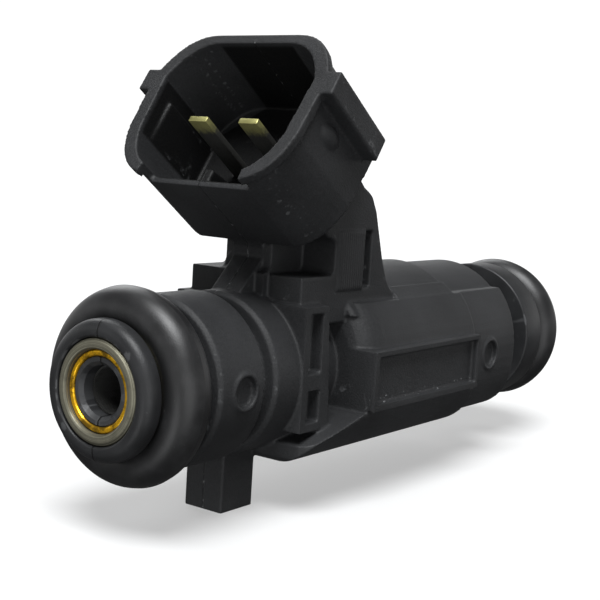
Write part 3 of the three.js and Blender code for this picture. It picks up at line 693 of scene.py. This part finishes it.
def filter_gauze():
    """A fine square weave, drawn round the axis, in near-black colours that paint the shade inside the
    filter's bore.
    """
    p = Paint("filter_gauze")
    threads = 72  # round the axis
    turn = p.node("ShaderNodeMath", {"operation": "ARCTAN2"}, {0: p.y, 1: p.z})
    weave = p.step(p.waves(p.x, 0.16 * MM) * p.waves(turn, 2 * math.pi / threads), -0.6, 0.6)
    # Painted shade: the weave is coloured near-black for the darkness inside the bore.
    colour = p.mix(weave, (0.004, 0.004, 0.0035), (0.014, 0.0138, 0.012))
    return p.surface(Base_Color=colour, Roughness=0.55 + weave * 0.1, Normal=p.bump(weave, 0.04))


# ---- Housing -------------------------------------------------------------------------------------

def body_section(half_width, depth, steps=64):
    """The body's section: round above the axis, and fuller at its lower corners."""
    points = []
    for i in range(steps):
        a = 2 * math.pi * (i + 0.5) / steps
        c, s = math.cos(a), math.sin(a)
        if s > 0:
            points.append((half_width * c, half_width * s))
        else:
            full = math.copysign(abs(c) ** (2 / 3), c), math.copysign(abs(s) ** (2 / 3), s)
            points.append((half_width * full[0], depth * full[1]))
    return points


def round_lands(h):
    """Flange, clip groove and land, with the waist behind them. The bore is cut later."""
    soft = 0.3
    land = h.flange_back + h.groove_width
    return turned([
        (h.flange_front, 0.0), (h.flange_front, h.flange_radius - soft),
        (h.flange_front + soft, h.flange_radius), (h.flange_back - soft, h.flange_radius),
        (h.flange_back, h.flange_radius - soft), (h.flange_back, h.groove_radius),
        (land, h.groove_radius), (land, h.land_radius - soft), (land + soft, h.land_radius),
        (h.land_back, h.land_radius), (h.land_back, h.groove_radius),
        (h.body_front + 1, h.groove_radius), (h.body_front + 1, 0.0),
    ])


def locating_post(h):
    back = h.post_front + h.post_length
    half = h.post_width / 2
    return block(h.post_front, back, -half, half, -h.post_depth, -4.0)


WING_FRONT, WING_BACK_TOP, WING_BACK_BOTTOM = 12.1, 15.1, 16.0
WING_BOTTOM, WING_TOP = -4.1, 5.7
POCKET_RIM = 0.65


def wing_plate(h):
    outline = [
        (WING_FRONT, WING_BOTTOM), (WING_BACK_BOTTOM, WING_BOTTOM), (WING_BACK_TOP, WING_TOP),
        (WING_FRONT, WING_TOP),
    ]
    return prism(outline, "XZ", -h.wing_half_width, h.wing_half_width)


def wing_pockets(h):
    """A tall pocket above a short one, in both flanks."""
    x0, x1 = WING_FRONT + POCKET_RIM, WING_BACK_TOP - POCKET_RIM
    bottom, split, bridge = WING_BOTTOM + POCKET_RIM, -0.85, 0.45
    y0, y1 = h.wing_half_width - 1.2, h.wing_half_width + 1
    low = both_sides(x0, x1, y0, y1, bottom, split)
    return low + both_sides(x0, x1, y0, y1, bridge, WING_TOP - POCKET_RIM)


def main_body(h):
    shoulder = []
    for share in (0.0, 0.08, 0.2, 0.35, 0.5, 0.7, 1.0):
        rise = math.sqrt(1 - (1 - share) ** 2)
        x = h.body_front + share * h.shoulder_length
        shoulder.append((x, h.shoulder_wall + (h.body_half_width - h.shoulder_wall) * rise))
    nose = turned([(h.body_front, 0.0), *shoulder, (h.body_back, h.body_half_width), (h.body_back, 0.0)])
    front = prism(body_section(h.body_half_width, h.body_depth), "YZ", h.body_front, h.body_step)
    back = prism(body_section(h.back_half_width, h.back_depth), "YZ", h.body_step - 1, h.body_back)
    reach = h.body_half_width + 1
    lower = join(cross(front, nose), back)
    lower = cut(lower, block(0, h.body_back + 1, -reach, reach, h.shelf_height, reach))
    crown = turned([
        (h.body_front, 0.0), (h.body_front, h.crown_radius - 0.3), (h.body_front + 0.3, h.crown_radius),
        (h.crown_step, h.crown_radius), (h.crown_step + 0.15, h.crown_back_radius),
        (h.body_back - 0.2, h.crown_back_radius), (h.body_back, h.crown_back_radius - 0.2),
        (h.body_back, 0.0),
    ])
    crown = cut(crown, block(0, h.body_back + 1, -reach, reach, -reach, h.shelf_height - 1))
    neck = rod(h.body_back - 1, h.neck_back, h.neck_radius)
    return join(lower, crown, neck)


def shelf_fillets(h):
    """The soft inside corners between the crown and its shelves."""
    size = 0.55
    root = math.sqrt(h.crown_radius ** 2 - h.shelf_height ** 2)
    z = h.shelf_height
    outline = [
        (root - 0.7, z - 0.3), (root - 0.7, z + size + 0.45), (root + size, z), (root + size, z - 0.3)
    ]
    near = prism([(-y, up) for y, up in outline], "YZ", h.body_front + 7.2, h.crown_step)
    far = prism(outline, "YZ", h.body_front + 7.2, h.crown_step)
    return [near, far]


def lower_shell(h):
    """The thick lower shell, with a nose rounded both in side view and in plan."""
    nose_length, nose_drop, nose_half_width = 2.7, 0.95, 6.4
    side = [(h.shell_front + nose_length * x, nose_drop * z - h.shell_depth) for x, z in quarter()]
    spare = h.shell_half_width - nose_half_width
    flank = [
        (h.shell_front + 2 * nose_length * x, h.shell_half_width - spare * y) for x, y in quarter()
    ]
    profile = prism([
        *side, (h.body_step, -h.shell_depth), (h.body_step, h.shell_top), (18.2, h.shell_top),
        (h.shell_front, (h.shell_top - h.shell_depth) / 2),
    ], "XZ", -h.shell_half_width, h.shell_half_width)
    plan = prism([
        *flank, (h.body_step, h.shell_half_width), (h.body_step, -h.shell_half_width),
        *[(x, -y) for x, y in reversed(flank)],
    ], "XY", -h.shell_depth - 1, 0)
    whole = prism(body_section(h.shell_half_width, h.shell_depth), "YZ", h.shell_front, h.body_step)
    return cross(whole, profile, plan)


def marking_pads(h):
    return block(PAD_FRONT, PAD_BACK, -h.pad_half_width, h.pad_half_width, PAD_BOTTOM, PAD_TOP)


def pad_recesses(h):
    floor, rim = h.pad_half_width - h.pad_recess, h.pad_rim
    return both_sides(
        PAD_FRONT + rim, PAD_BACK - rim, floor, h.pad_half_width + 1, PAD_BOTTOM + rim, PAD_TOP - rim
    )


def disc(x, y, z, radius, depth):
    """A short upright drum whose axis is across the injector."""
    select_only(None)
    bpy.ops.mesh.primitive_cylinder_add(
        vertices=48, radius=radius, depth=depth, location=(x, y, z), rotation=(math.pi / 2, 0, 0)
    )
    bpy.ops.object.transform_apply(location=True, rotation=True, scale=True)
    return bpy.context.object


def lip(x, y, z, radius, thickness):
    """The raised ring round an ejector mark."""
    select_only(None)
    bpy.ops.mesh.primitive_torus_add(
        major_radius=radius, minor_radius=thickness, major_segments=48, minor_segments=12,
        location=(x, y, z), rotation=(math.pi / 2, 0, 0),
    )
    bpy.ops.object.transform_apply(location=True, rotation=True, scale=True)
    return bpy.context.object


EJECTOR_MARKS = ((5.3, 6.55, 0.0, 1.2), (39.8, 8.2, -0.3, 1.25))  # x, flank, z, radius


def ejector_lips():
    return [
        lip(x, side * (flank - 0.07), z, radius + 0.1, 0.2)
        for x, flank, z, radius in EJECTOR_MARKS for side in (-1, 1)
    ]


def ejector_hollows():
    return [
        disc(x, side * flank, z, radius - 0.05, 0.8)
        for x, flank, z, radius in EJECTOR_MARKS for side in (-1, 1)
    ]


def socket_matrix(s):
    """Across, up the mouth and out along the socket's axis, as columns."""
    c, n = math.cos(s.tilt), math.sin(s.tilt)
    return Matrix(((0, n, -c, 0), (-1, 0, 0, 0), (0, c, n, 0), (0, 0, 0, 1)))


def socket_point(s, u, v):
    """A point of the socket's middle plane: u out of the mouth and v up it."""
    c, n = math.cos(s.tilt), math.sin(s.tilt)
    return (n * v - c * u, c * v + n * u)


def mouth_outline(s, side, top, bottom):
    """The mouth's outline, set in from the outer one by the walls given."""
    w = s.half_width - side
    high, low = s.top - top, s.bottom + bottom
    flat_top, flat_bottom = MOUTH_TOP_FLAT - side / 2, MOUTH_BOTTOM_FLAT - side / 4
    shoulder, knee = s.top - SHOULDER_DROP, s.bottom + KNEE_RISE
    right = [
        *curve((flat_top, high), (w - 1.25, high), (w, shoulder)),
        *curve((w - 0.25, knee), (w - 0.85, low + 0.7), (flat_bottom, low)),
    ]
    return right + [(-a, v) for a, v in reversed(right)]


def in_socket(s, outline, near, far):
    return place(prism(outline, "XY", near, far), socket_matrix(s))


def socket_block(s, a0, a1, v0, v1, u0, u1):
    return place(block(a0, a1, v0, v1, u0, u1), socket_matrix(s))


def socket_walls(s):
    rear, front = s.mouth - s.depth, s.mouth - s.rim_depth
    walls = in_socket(s, mouth_outline(s, s.rim_step, s.rim_step, s.rim_step), rear, front + 0.2)
    rim = in_socket(s, mouth_outline(s, 0, 0, 0), front, s.mouth)
    inner, rail_length, rail_bottom, rail_top = s.half_width - 0.6, 8, 23.1, 25.1
    rails = [
        socket_block(s, a0, a1, rail_bottom, rail_top, s.mouth - rail_length, s.mouth)
        for a0, a1 in ((inner, s.rail_reach), (-s.rail_reach, -inner))
    ]
    return join(walls, rim, *rails, *wall_bumps(s))


def wall_bumps(s):
    """A low oval boss on the outside of each side wall."""
    bumps = []
    for side in (-1, 1):
        select_only(None)
        centre = Vector((side * (s.half_width - s.rim_step - 0.35), 21.9, 1.2))
        bpy.ops.mesh.primitive_uv_sphere_add(segments=32, ring_count=16, radius=1)
        bump = bpy.context.object
        size = Matrix.Diagonal((0.6, 0.85, 1.35, 1))
        bumps.append(place(bump, socket_matrix(s) @ Matrix.Translation(centre) @ size))
    return bumps


def socket_hollow(s):
    floor = s.mouth - s.depth + s.floor
    hollow = in_socket(
        s, mouth_outline(s, s.side_wall, s.top_wall, s.bottom_wall), floor, s.mouth + 1
    )
    half = 4.87  # a little wider than the mouth's flat bottom
    step = socket_block(
        s, -half, half, s.bottom - 1, s.bottom + s.bottom_wall + 0.1, s.mouth - s.tongue_setback,
        s.mouth + 1,
    )
    return join(hollow, step)


def socket_ribs(s):
    """The sloping key rib on the tongue, a rib on each inner wall and a nub on the floor."""
    top = s.bottom + s.bottom_wall
    back, front = s.mouth - s.depth + s.floor / 2, s.mouth - s.tongue_setback
    key = prism([
        socket_point(s, back, top - 0.4), socket_point(s, front, top - 0.4),
        socket_point(s, front, top + 1.0), socket_point(s, back, top + 2.2),
    ], "XZ", -0.7, 0.2)
    inner = s.half_width - s.side_wall
    guides = [
        socket_block(s, side * inner - 0.35, side * inner + 0.35, 18.6, 23.0, back, s.mouth - 1.6)
        for side in (-1, 1)
    ]
    nub = socket_block(s, -0.2, 1.4, 19.2, 20.4, back, back + 1.6)
    return [key, *guides, nub]


COLUMN_FRONT, COLUMN_FOOT, PYLON_FRONT, BLOCK_TOP = 16.93, 26.2, 12.6, 7.81


def pylon(s):
    rear = s.mouth - s.depth
    hook = rear + s.floor / 2
    top = s.top - SHOULDER_DROP
    outline = [
        (PYLON_FRONT, 4.0), (COLUMN_FOOT + 0.9, 4.0), (COLUMN_FOOT + 0.9, 5.45),
        *curve((COLUMN_FOOT + 0.5, 5.6), (COLUMN_FOOT - 0.7, 6.0), (COLUMN_FOOT - 1.5, 7.3), 5),
        (COLUMN_FOOT - 2.35, 9.06), (COLUMN_FOOT - 3.67, 12.88),
        *curve((COLUMN_FOOT - 4.4, 14.1), (COLUMN_FOOT - 4.9, 14.5), (COLUMN_FOOT - 5.7, 14.86), 3),
        socket_point(s, rear, top), socket_point(s, hook, top - 1), socket_point(s, hook, s.bottom + 3),
        *curve((COLUMN_FRONT - 1.16, 10.87), (COLUMN_FRONT, 10.7), (COLUMN_FRONT, 10.08), 4),
        *curve((COLUMN_FRONT, BLOCK_TOP + 0.7), (COLUMN_FRONT, BLOCK_TOP),
               (COLUMN_FRONT - 0.7, BLOCK_TOP), 4),
        (PYLON_FRONT, BLOCK_TOP),
    ]
    return prism(outline, "XZ", -s.pylon_half_width, s.pylon_half_width)


def pylon_panels(s):
    """The raised, finely ribbed panels on the pylon's flanks."""
    flank, proud = s.pylon_half_width, 0.14
    return both_sides(PANEL_FRONT, PANEL_BACK, flank - 0.6, flank + proud, PANEL_BOTTOM, PANEL_TOP)


def pylon_slots(s):
    """The deep upright slot behind each panel."""
    front, back, depth = PANEL_BACK - 0.1, 22.1, 2.2
    flank = s.pylon_half_width
    return both_sides(front, back, flank - depth, flank + 1, PANEL_BOTTOM, PANEL_TOP)


def socket_web(s):
    """A web under the socket's heel, on the middle plane, and a thicker stem behind it."""
    heel = socket_point(s, s.mouth - s.depth + 0.4, s.bottom + 0.4)
    back, foot, knee = COLUMN_FRONT + 1, 4.5, 12.85
    web_front, web_half, stem_front, stem_half = 10.35, 1.45, 12.0, 2.3
    web = prism([
        (back, foot), (web_front, foot), (web_front, 6.5), (knee, 9.0), (knee - 0.1, 9.8), heel,
        (back, heel[1] + 1),
    ], "XZ", -web_half, web_half)
    stem = prism([
        (back, foot), (stem_front, foot), (stem_front, 7.85),
        *curve((stem_front + 0.1, 7.9), (knee, 7.95), (knee, 8.7), 4),
        (knee, heel[1]), (knee + 1, heel[1] + 1), (back, heel[1] + 1),
    ], "XZ", -stem_half, stem_half)
    return join(stem, web)


def blade_path(s):
    """The middle line of a blade, from its tip, round its bend and down to the magnet."""
    height, bend, leg, leg_top, leg_bottom = 20.97, -6.5, 20.55, 11.0, 4.7
    return [
        socket_point(s, BLADE_TIP, height), socket_point(s, bend, height), (leg, leg_top), (leg, leg_bottom)
    ]


def strip_outline(path, thickness):
    """Both edges of a strip along a path, with mitred bends."""
    edges = []
    for sign in (1, -1):
        edge = []
        for i, (x, z) in enumerate(path):
            into = Vector(path[i]) - Vector(path[i - 1]) if i else Vector(path[1]) - Vector(path[0])
            out = Vector(path[i + 1]) - Vector(path[i]) if i + 1 < len(path) else into
            mitre = (into.normalized() + out.normalized()).normalized()
            reach = sign * thickness / 2 / mitre.dot(into.normalized())
            edge.append((x - mitre.y * reach, z + mitre.x * reach))
        edges.append(edge)
    return edges[0] + edges[1][::-1]


def blade_solid(s, side, spare=0.0):
    half = s.blade_width / 2 + spare
    node = cad("terminal_left" if side < 0 else "terminal_right")
    middle = (node.y0 + node.y1) / 2
    outline = strip_outline(blade_path(s), s.blade_thickness + 2 * spare)
    return prism(outline, "XZ", middle - half, middle + half)


def magnet_chamber(h):
    """The room inside the housing for the tube, the magnet and the valve body."""
    yoke = cad("magnet_yoke")
    flange_back = yoke.x1 + 2.4
    return join(
        rod(yoke.x0 - FIT, flange_back + FIT, yoke.z1 + FIT),
        rod(flange_back - 1, h.neck_back + 1, VALVE_NECK_RADIUS + FIT),
        rod(h.flange_front - 1, POLE_STEP + FIT, cad("inlet_tube").z1 + FIT),
        rod(POLE_STEP - 1, yoke.x0 + 1, POLE_RADIUS + FIT),
    )


def build_housing(h, s, material):
    housing = join(
        round_lands(h), locating_post(h), wing_plate(h), main_body(h), *shelf_fillets(h),
        lower_shell(h), marking_pads(h), pylon(s), *pylon_panels(s), socket_web(s), socket_walls(s),
        *ejector_lips(),
    )
    cut(housing, socket_hollow(s), *wing_pockets(h), *pad_recesses(h), *pylon_slots(s), *ejector_hollows())
    join(housing, *socket_ribs(s))
    cut(housing, magnet_chamber(h), blade_solid(s, -1, FIT), blade_solid(s, 1, FIT))
    apply(housing, "REMESH", mode="VOXEL", voxel_size=h.grain, use_smooth_shade=True)
    apply(housing, "SMOOTH", factor=0.5, iterations=h.softness)
    apply(housing, "DECIMATE", ratio=h.detail)
    return finish(
        housing, "moulded_housing", material, "injector_body", "housing_nylon", "overmold_body", angle=50
    )


# ---- Seals and rings -----------------------------------------------------------------------------

def build_seal(node, name, material):
    """An O-ring with the faint flash of its mould at its widest and narrowest."""
    box = cad(node)
    flash, spread, points = 0.035, 0.045, 96
    centre, section = (box.x0 + box.x1) / 2, (box.x1 - box.x0) / 2 - flash
    middle = box.z1 - flash - section
    outline = []
    for i in range(points):
        a = 2 * math.pi * i / points
        ridge = flash * math.exp(-((abs(math.cos(a)) / spread) ** 2))
        r = section + ridge
        outline.append((centre + r * math.cos(a), middle + r * math.sin(a)))
    ring = turned(outline, SEAL_STEPS)
    return finish(ring, name, material, "injector_body", "seal_rubber", node, angle=60)


def build_retainer(material):
    """The rounded plastic ring on the tube's end."""
    box = cad("seal_retaining_ring")
    bore = cad("inlet_tube").z1 + FIT
    soft = 0.85
    nose = [(box.x0 + soft * x, box.z1 - soft * r) for x, r in quarter(8)]
    ring = turned([
        (box.x0 + 0.12, bore), (box.x0, bore + 0.12), *nose, (box.x1 - 0.1, box.z1),
        (box.x1, box.z1 - 0.1), (box.x1, bore),
    ])
    broken_edges(ring, 0.05)
    return finish(
        ring, "inlet_retainer", material, "injector_body", "housing_nylon", "seal_retaining_ring"
    )


def build_support(material):
    """The ring in front of the outlet O-ring, with its lower lip."""
    box = cad("outlet_support_collar")
    bore = cad("nozzle_cap").z1 - CAP_WALL
    lip_front, lip_radius = box.x1 - 1.0, 5.6
    ring = turned([
        (box.x0, bore), (box.x0, box.z1), (lip_front, box.z1), (lip_front, lip_radius),
        (box.x1, lip_radius), (box.x1, bore),
    ])
    broken_edges(ring, 0.22, 4)
    return finish(
        ring, "support_collar", material, "injector_body", "ring_nylon", "outlet_support_collar"
    )


def build_cap(material):
    """The cap that keeps the outlet O-ring on, chamfered at its end."""
    box = cad("nozzle_cap")
    bore, chamfer, end_wall, mouth = box.z1 - CAP_WALL, 0.7, 0.8, 2.2
    cap = turned([
        (box.x0, bore), (box.x0, box.z1), (box.x1 - chamfer, box.z1), (box.x1, box.z1 - chamfer),
        (box.x1, mouth + 0.25), (box.x1 - 0.25, mouth), (box.x1 - end_wall, mouth),
        (box.x1 - end_wall, bore),
    ])
    broken_edges(cap, 0.12)
    return finish(cap, "end_cap", material, "injector_body", "ring_nylon", "nozzle_cap")


# ---- Fuel inlet ----------------------------------------------------------------------------------

def build_tube(material):
    box = cad("inlet_tube")
    step, spring_bore, filter_bore = box.x0 + 12.6, 1.55, 3.0
    tube = turned([
        (box.x0, filter_bore + 0.12), (box.x0, box.z1 - 0.25), (box.x0 + 0.25, box.z1),
        (POLE_STEP - 0.7, box.z1), (POLE_STEP, POLE_RADIUS), (box.x1, POLE_RADIUS), (box.x1, spring_bore),
        (step, spring_bore), (step, filter_bore), (box.x0 + 0.12, filter_bore),
    ])
    broken_edges(tube, 0.06, 2)
    return finish(tube, "pole_tube", material, "injector_body", "bare_steel", "inlet_tube")


def build_collar(material):
    box = cad("filter_collar")
    bore = box.z1 - 0.45
    collar = turned([
        (box.x0, bore + 0.08), (box.x0, box.z1 - 0.1), (box.x0 + 0.1, box.z1), (box.x1, box.z1),
        (box.x1, bore), (box.x0 + 0.12, bore),
    ])
    broken_edges(collar, 0.04)
    return finish(collar, "filter_ferrule", material, "injector_body", "collar_brass", "filter_collar")


def build_basket(material):
    """The filter's frame: a thick front ring, then four bars to a closed end."""
    box = cad("filter_frame")
    hole, end_wall, ring_length, half_window, steps = 1.83, 0.8, 3.1, 0.95, 96
    basket = turned([
        (box.x0 + 0.3, hole), (box.x0, hole + 0.28), (box.x0, box.z1 - 0.06), (box.x0 + 0.06, box.z1),
        (box.x1, box.z1 - 0.2), (box.x1, 0.01), (box.x1 - end_wall, 0.01), (box.x1 - end_wall, hole),
    ], steps)
    windows = []
    for turn in range(4):
        window = block(
            box.x0 + ring_length, box.x1 - end_wall - 0.5, -half_window, half_window, 0.5, box.z1 + 1
        )
        windows.append(place(window, Matrix.Rotation(turn * math.pi / 2, 4, "X")))
    cut(basket, *windows)
    return finish(basket, "filter_basket", material, "injector_body", "filter_nylon", "filter_frame")


# ---- Operators -----------------------------------------------------------------------------------

MATERIALS = {}


def material_of(name, make):
    """Each finish is made once and shared."""
    if name not in MATERIALS:
        MATERIALS[name] = make()
    return MATERIALS[name]


def groups():
    scene = bpy.context.scene
    return SimpleNamespace(
        housing=sizes(scene.injector_housing), socket=sizes(scene.injector_socket),
        look=sizes(scene.injector_finishes), studio=sizes(scene.injector_studio),
    )


class INJECTOR_OT_housing(bpy.types.Operator):
    """Builds the moulded housing with its socket"""
    bl_idname = "injector.housing"
    bl_label = "Housing"

    def execute(self, context):
        g = groups()
        nylon = material_of("nylon", lambda: moulded_nylon(g.look, g.housing, g.socket))
        build_housing(g.housing, g.socket, nylon)
        return {"FINISHED"}


class INJECTOR_OT_seals(bpy.types.Operator):
    """Builds the two O-rings"""
    bl_idname = "injector.seals"
    bl_label = "O-rings"

    def execute(self, context):
        g = groups()
        rubber = material_of("rubber", lambda: seal_rubber(g.look))
        build_seal("inlet_o_ring", "inlet_seal", rubber)
        build_seal("outlet_o_ring", "outlet_seal", rubber)
        return {"FINISHED"}


class INJECTOR_OT_rings(bpy.types.Operator):
    """Builds the three loose plastic rings"""
    bl_idname = "injector.rings"
    bl_label = "Plastic rings"

    def execute(self, context):
        g = groups()
        plastic = material_of("ring", lambda: ring_plastic(g.look))
        build_retainer(plastic)
        build_support(plastic)
        build_cap(plastic)
        return {"FINISHED"}


class INJECTOR_OT_inlet(bpy.types.Operator):
    """Builds the inlet tube and the filter in it"""
    bl_idname = "injector.inlet"
    bl_label = "Fuel inlet"

    def execute(self, context):
        g = groups()
        build_tube(material_of("steel", lambda: turned_steel(g.look)))
        build_collar(material_of("brass", lambda: filter_brass(g.look)))
        build_basket(material_of("ring", lambda: ring_plastic(g.look)))
        return {"FINISHED"}


class INJECTOR_OT_blades(bpy.types.Operator):
    """Builds the two contact blades"""
    bl_idname = "injector.blades"
    bl_label = "Contact blades"

    def execute(self, context):
        g = groups()
        plating = material_of("plating", lambda: blade_plating(g.look, g.socket))
        for side, node in ((-1, "terminal_left"), (1, "terminal_right")):
            blade = broken_edges(blade_solid(g.socket, side), 0.09, 2)
            finish(blade, "blade_" + node.split("_")[1], plating, "injector_body", "blade_plating", node)
        return {"FINISHED"}


class INJECTOR_OT_finishes(bpy.types.Operator):
    """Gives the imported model's own nodes their finishes"""
    bl_idname = "injector.finishes"
    bl_label = "Finishes"

    def execute(self, context):
        g = groups()
        steel = material_of("steel", lambda: turned_steel(g.look))
        special = {
            "filter_mesh": material_of("gauze", filter_gauze),
            "coil_bobbin": material_of("bobbin", bobbin_plastic),
            "coil_winding": material_of("copper", lambda: copper_wire(g.look)),
        }
        for name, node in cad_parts.items():
            node.data.materials.clear()
            node.data.materials.append(special.get(name, steel))
        return {"FINISHED"}


class INJECTOR_OT_studio(bpy.types.Operator):
    """Sets up the floor, the lights and the camera"""
    bl_idname = "injector.studio"
    bl_label = "Studio"

    def execute(self, context):
        studio = groups().studio
        build_camera(context.scene, studio)
        build_floor(studio)
        build_lights(context.scene, studio)
        return {"FINISHED"}


# ---- Studio --------------------------------------------------------------------------------------

def build_camera(scene, studio):
    a, e, r = studio.azimuth, studio.elevation, studio.roll
    back = Vector((math.sin(a) * math.cos(e), -math.cos(a) * math.cos(e), math.sin(e)))
    right = (-back).cross(Vector((0, 0, 1))).normalized()
    up = right.cross(-back)
    turned_right = right * math.cos(r) + up * math.sin(r)
    turned_up = up * math.cos(r) - right * math.sin(r)
    data = bpy.data.cameras.new("camera")
    data.lens = studio.lens
    data.sensor_width = 36.0
    data.clip_start = 0.002
    camera = bpy.data.objects.new("camera", data)
    camera.matrix_world = Matrix.Translation(Vector(studio.camera) * MM) @ Matrix(
        (turned_right, turned_up, back)).transposed().to_4x4()
    scene.collection.objects.link(camera)
    scene.camera = camera


def build_floor(studio):
    """A pale floor at the injector's lowest point. It takes a shadow, but throws no light back."""
    lowest = CAD_BOX[0][2]
    select_only(None)
    bpy.ops.mesh.primitive_circle_add(vertices=96, radius=6.0, fill_type="NGON", location=(0, 0, lowest))
    floor = bpy.context.object
    floor.name = "floor"
    floor.visible_diffuse = False
    floor.visible_glossy = False
    floor.visible_shadow = False
    p = Paint("studio_floor")
    dark, pale = shades(studio.floor, 0.985, 1.0)
    floor.data.materials.append(p.surface(
        Base_Color=p.mix(p.noise(40.0, 2.0), dark, pale), Roughness=0.9, Emission_Color=WHITE,
        Emission_Strength=studio.floor_glow,
    ))


# Name, direction it comes from, strength and angular width in degrees
LAMPS = (
    ("key_light", (-0.34, -0.24, 0.91), 7.0, 34),
    ("back_light", (0.5, 0.62, 0.6), 1.4, 40),
    ("fill_light", (-0.55, -0.8, -0.14), 1.4, 50),
    ("front_light", (-0.9, 0.05, -0.42), 0.9, 30),
)
LAMP_COLOUR = (0.975, 0.99, 1.0)


def build_lights(scene, studio):
    """Soft suns, and a sky that is bright near the horizon and dim above and below it."""
    sky = Paint("studio_sky", "worlds", "Generated")
    band = sky.step(sky.z, -0.06, 0.0) * sky.step(sky.z, 0.15, 0.45, 1.0, 0.0)
    strength = band * studio.horizon + studio.sky
    glow = sky.node("ShaderNodeBackground", {}, {"Color": WHITE, "Strength": strength})
    sky.node("ShaderNodeOutputWorld", {}, {"Surface": glow})
    scene.world = sky.material
    scene.view_settings.view_transform = "Standard"
    for name, towards, energy, width in LAMPS:
        data = bpy.data.lights.new(name, "SUN")
        data.energy = energy
        data.angle = math.radians(width)
        data.color = LAMP_COLOUR
        light = bpy.data.objects.new(name, data)
        light.matrix_world = Vector(towards).to_track_quat("Z", "Y").to_matrix().to_4x4()
        scene.collection.objects.link(light)


# ---- Panel and registration ----------------------------------------------------------------------

class INJECTOR_PT_pieces(bpy.types.Panel):
    """Lists the injector's operators and sizes"""
    bl_idname = "INJECTOR_PT_pieces"
    bl_label = "Fuel injector"
    bl_space_type = "VIEW_3D"
    bl_region_type = "UI"
    bl_category = "Injector"

    def draw(self, context):
        for operator in OPERATORS:
            self.layout.operator(operator.bl_idname)
        for group in PROPERTY_GROUPS:
            box = self.layout.box()
            box.label(text=group.replace("_", " "))
            values = getattr(context.scene, group)
            for prop in values.bl_rna.properties:
                if prop.identifier not in ("rna_type", "name"):
                    box.prop(values, prop.identifier)


OPERATORS = (
    INJECTOR_OT_finishes, INJECTOR_OT_studio, INJECTOR_OT_housing, INJECTOR_OT_seals, INJECTOR_OT_rings,
    INJECTOR_OT_inlet, INJECTOR_OT_blades,
)
PROPERTY_GROUPS = {
    "injector_housing": InjectorHousingSizes,
    "injector_socket": InjectorSocketSizes,
    "injector_finishes": InjectorFinishes,
    "injector_studio": InjectorStudio,
}


def register():
    for name, group in PROPERTY_GROUPS.items():
        bpy.utils.register_class(group)
        setattr(bpy.types.Scene, name, bpy.props.PointerProperty(type=group))
    for cls in (*OPERATORS, INJECTOR_PT_pieces):
        bpy.utils.register_class(cls)


def unregister():
    for cls in (INJECTOR_PT_pieces, *reversed(OPERATORS)):
        bpy.utils.unregister_class(cls)
    for name, group in PROPERTY_GROUPS.items():
        delattr(bpy.types.Scene, name)
        bpy.utils.unregister_class(group)


def main():
    register()
    bpy.ops.injector.finishes()
    bpy.ops.injector.studio()
    bpy.ops.injector.housing()
    bpy.ops.injector.seals()
    bpy.ops.injector.rings()
    bpy.ops.injector.inlet()
    bpy.ops.injector.blades()


if __name__ == "__main__":
    main()
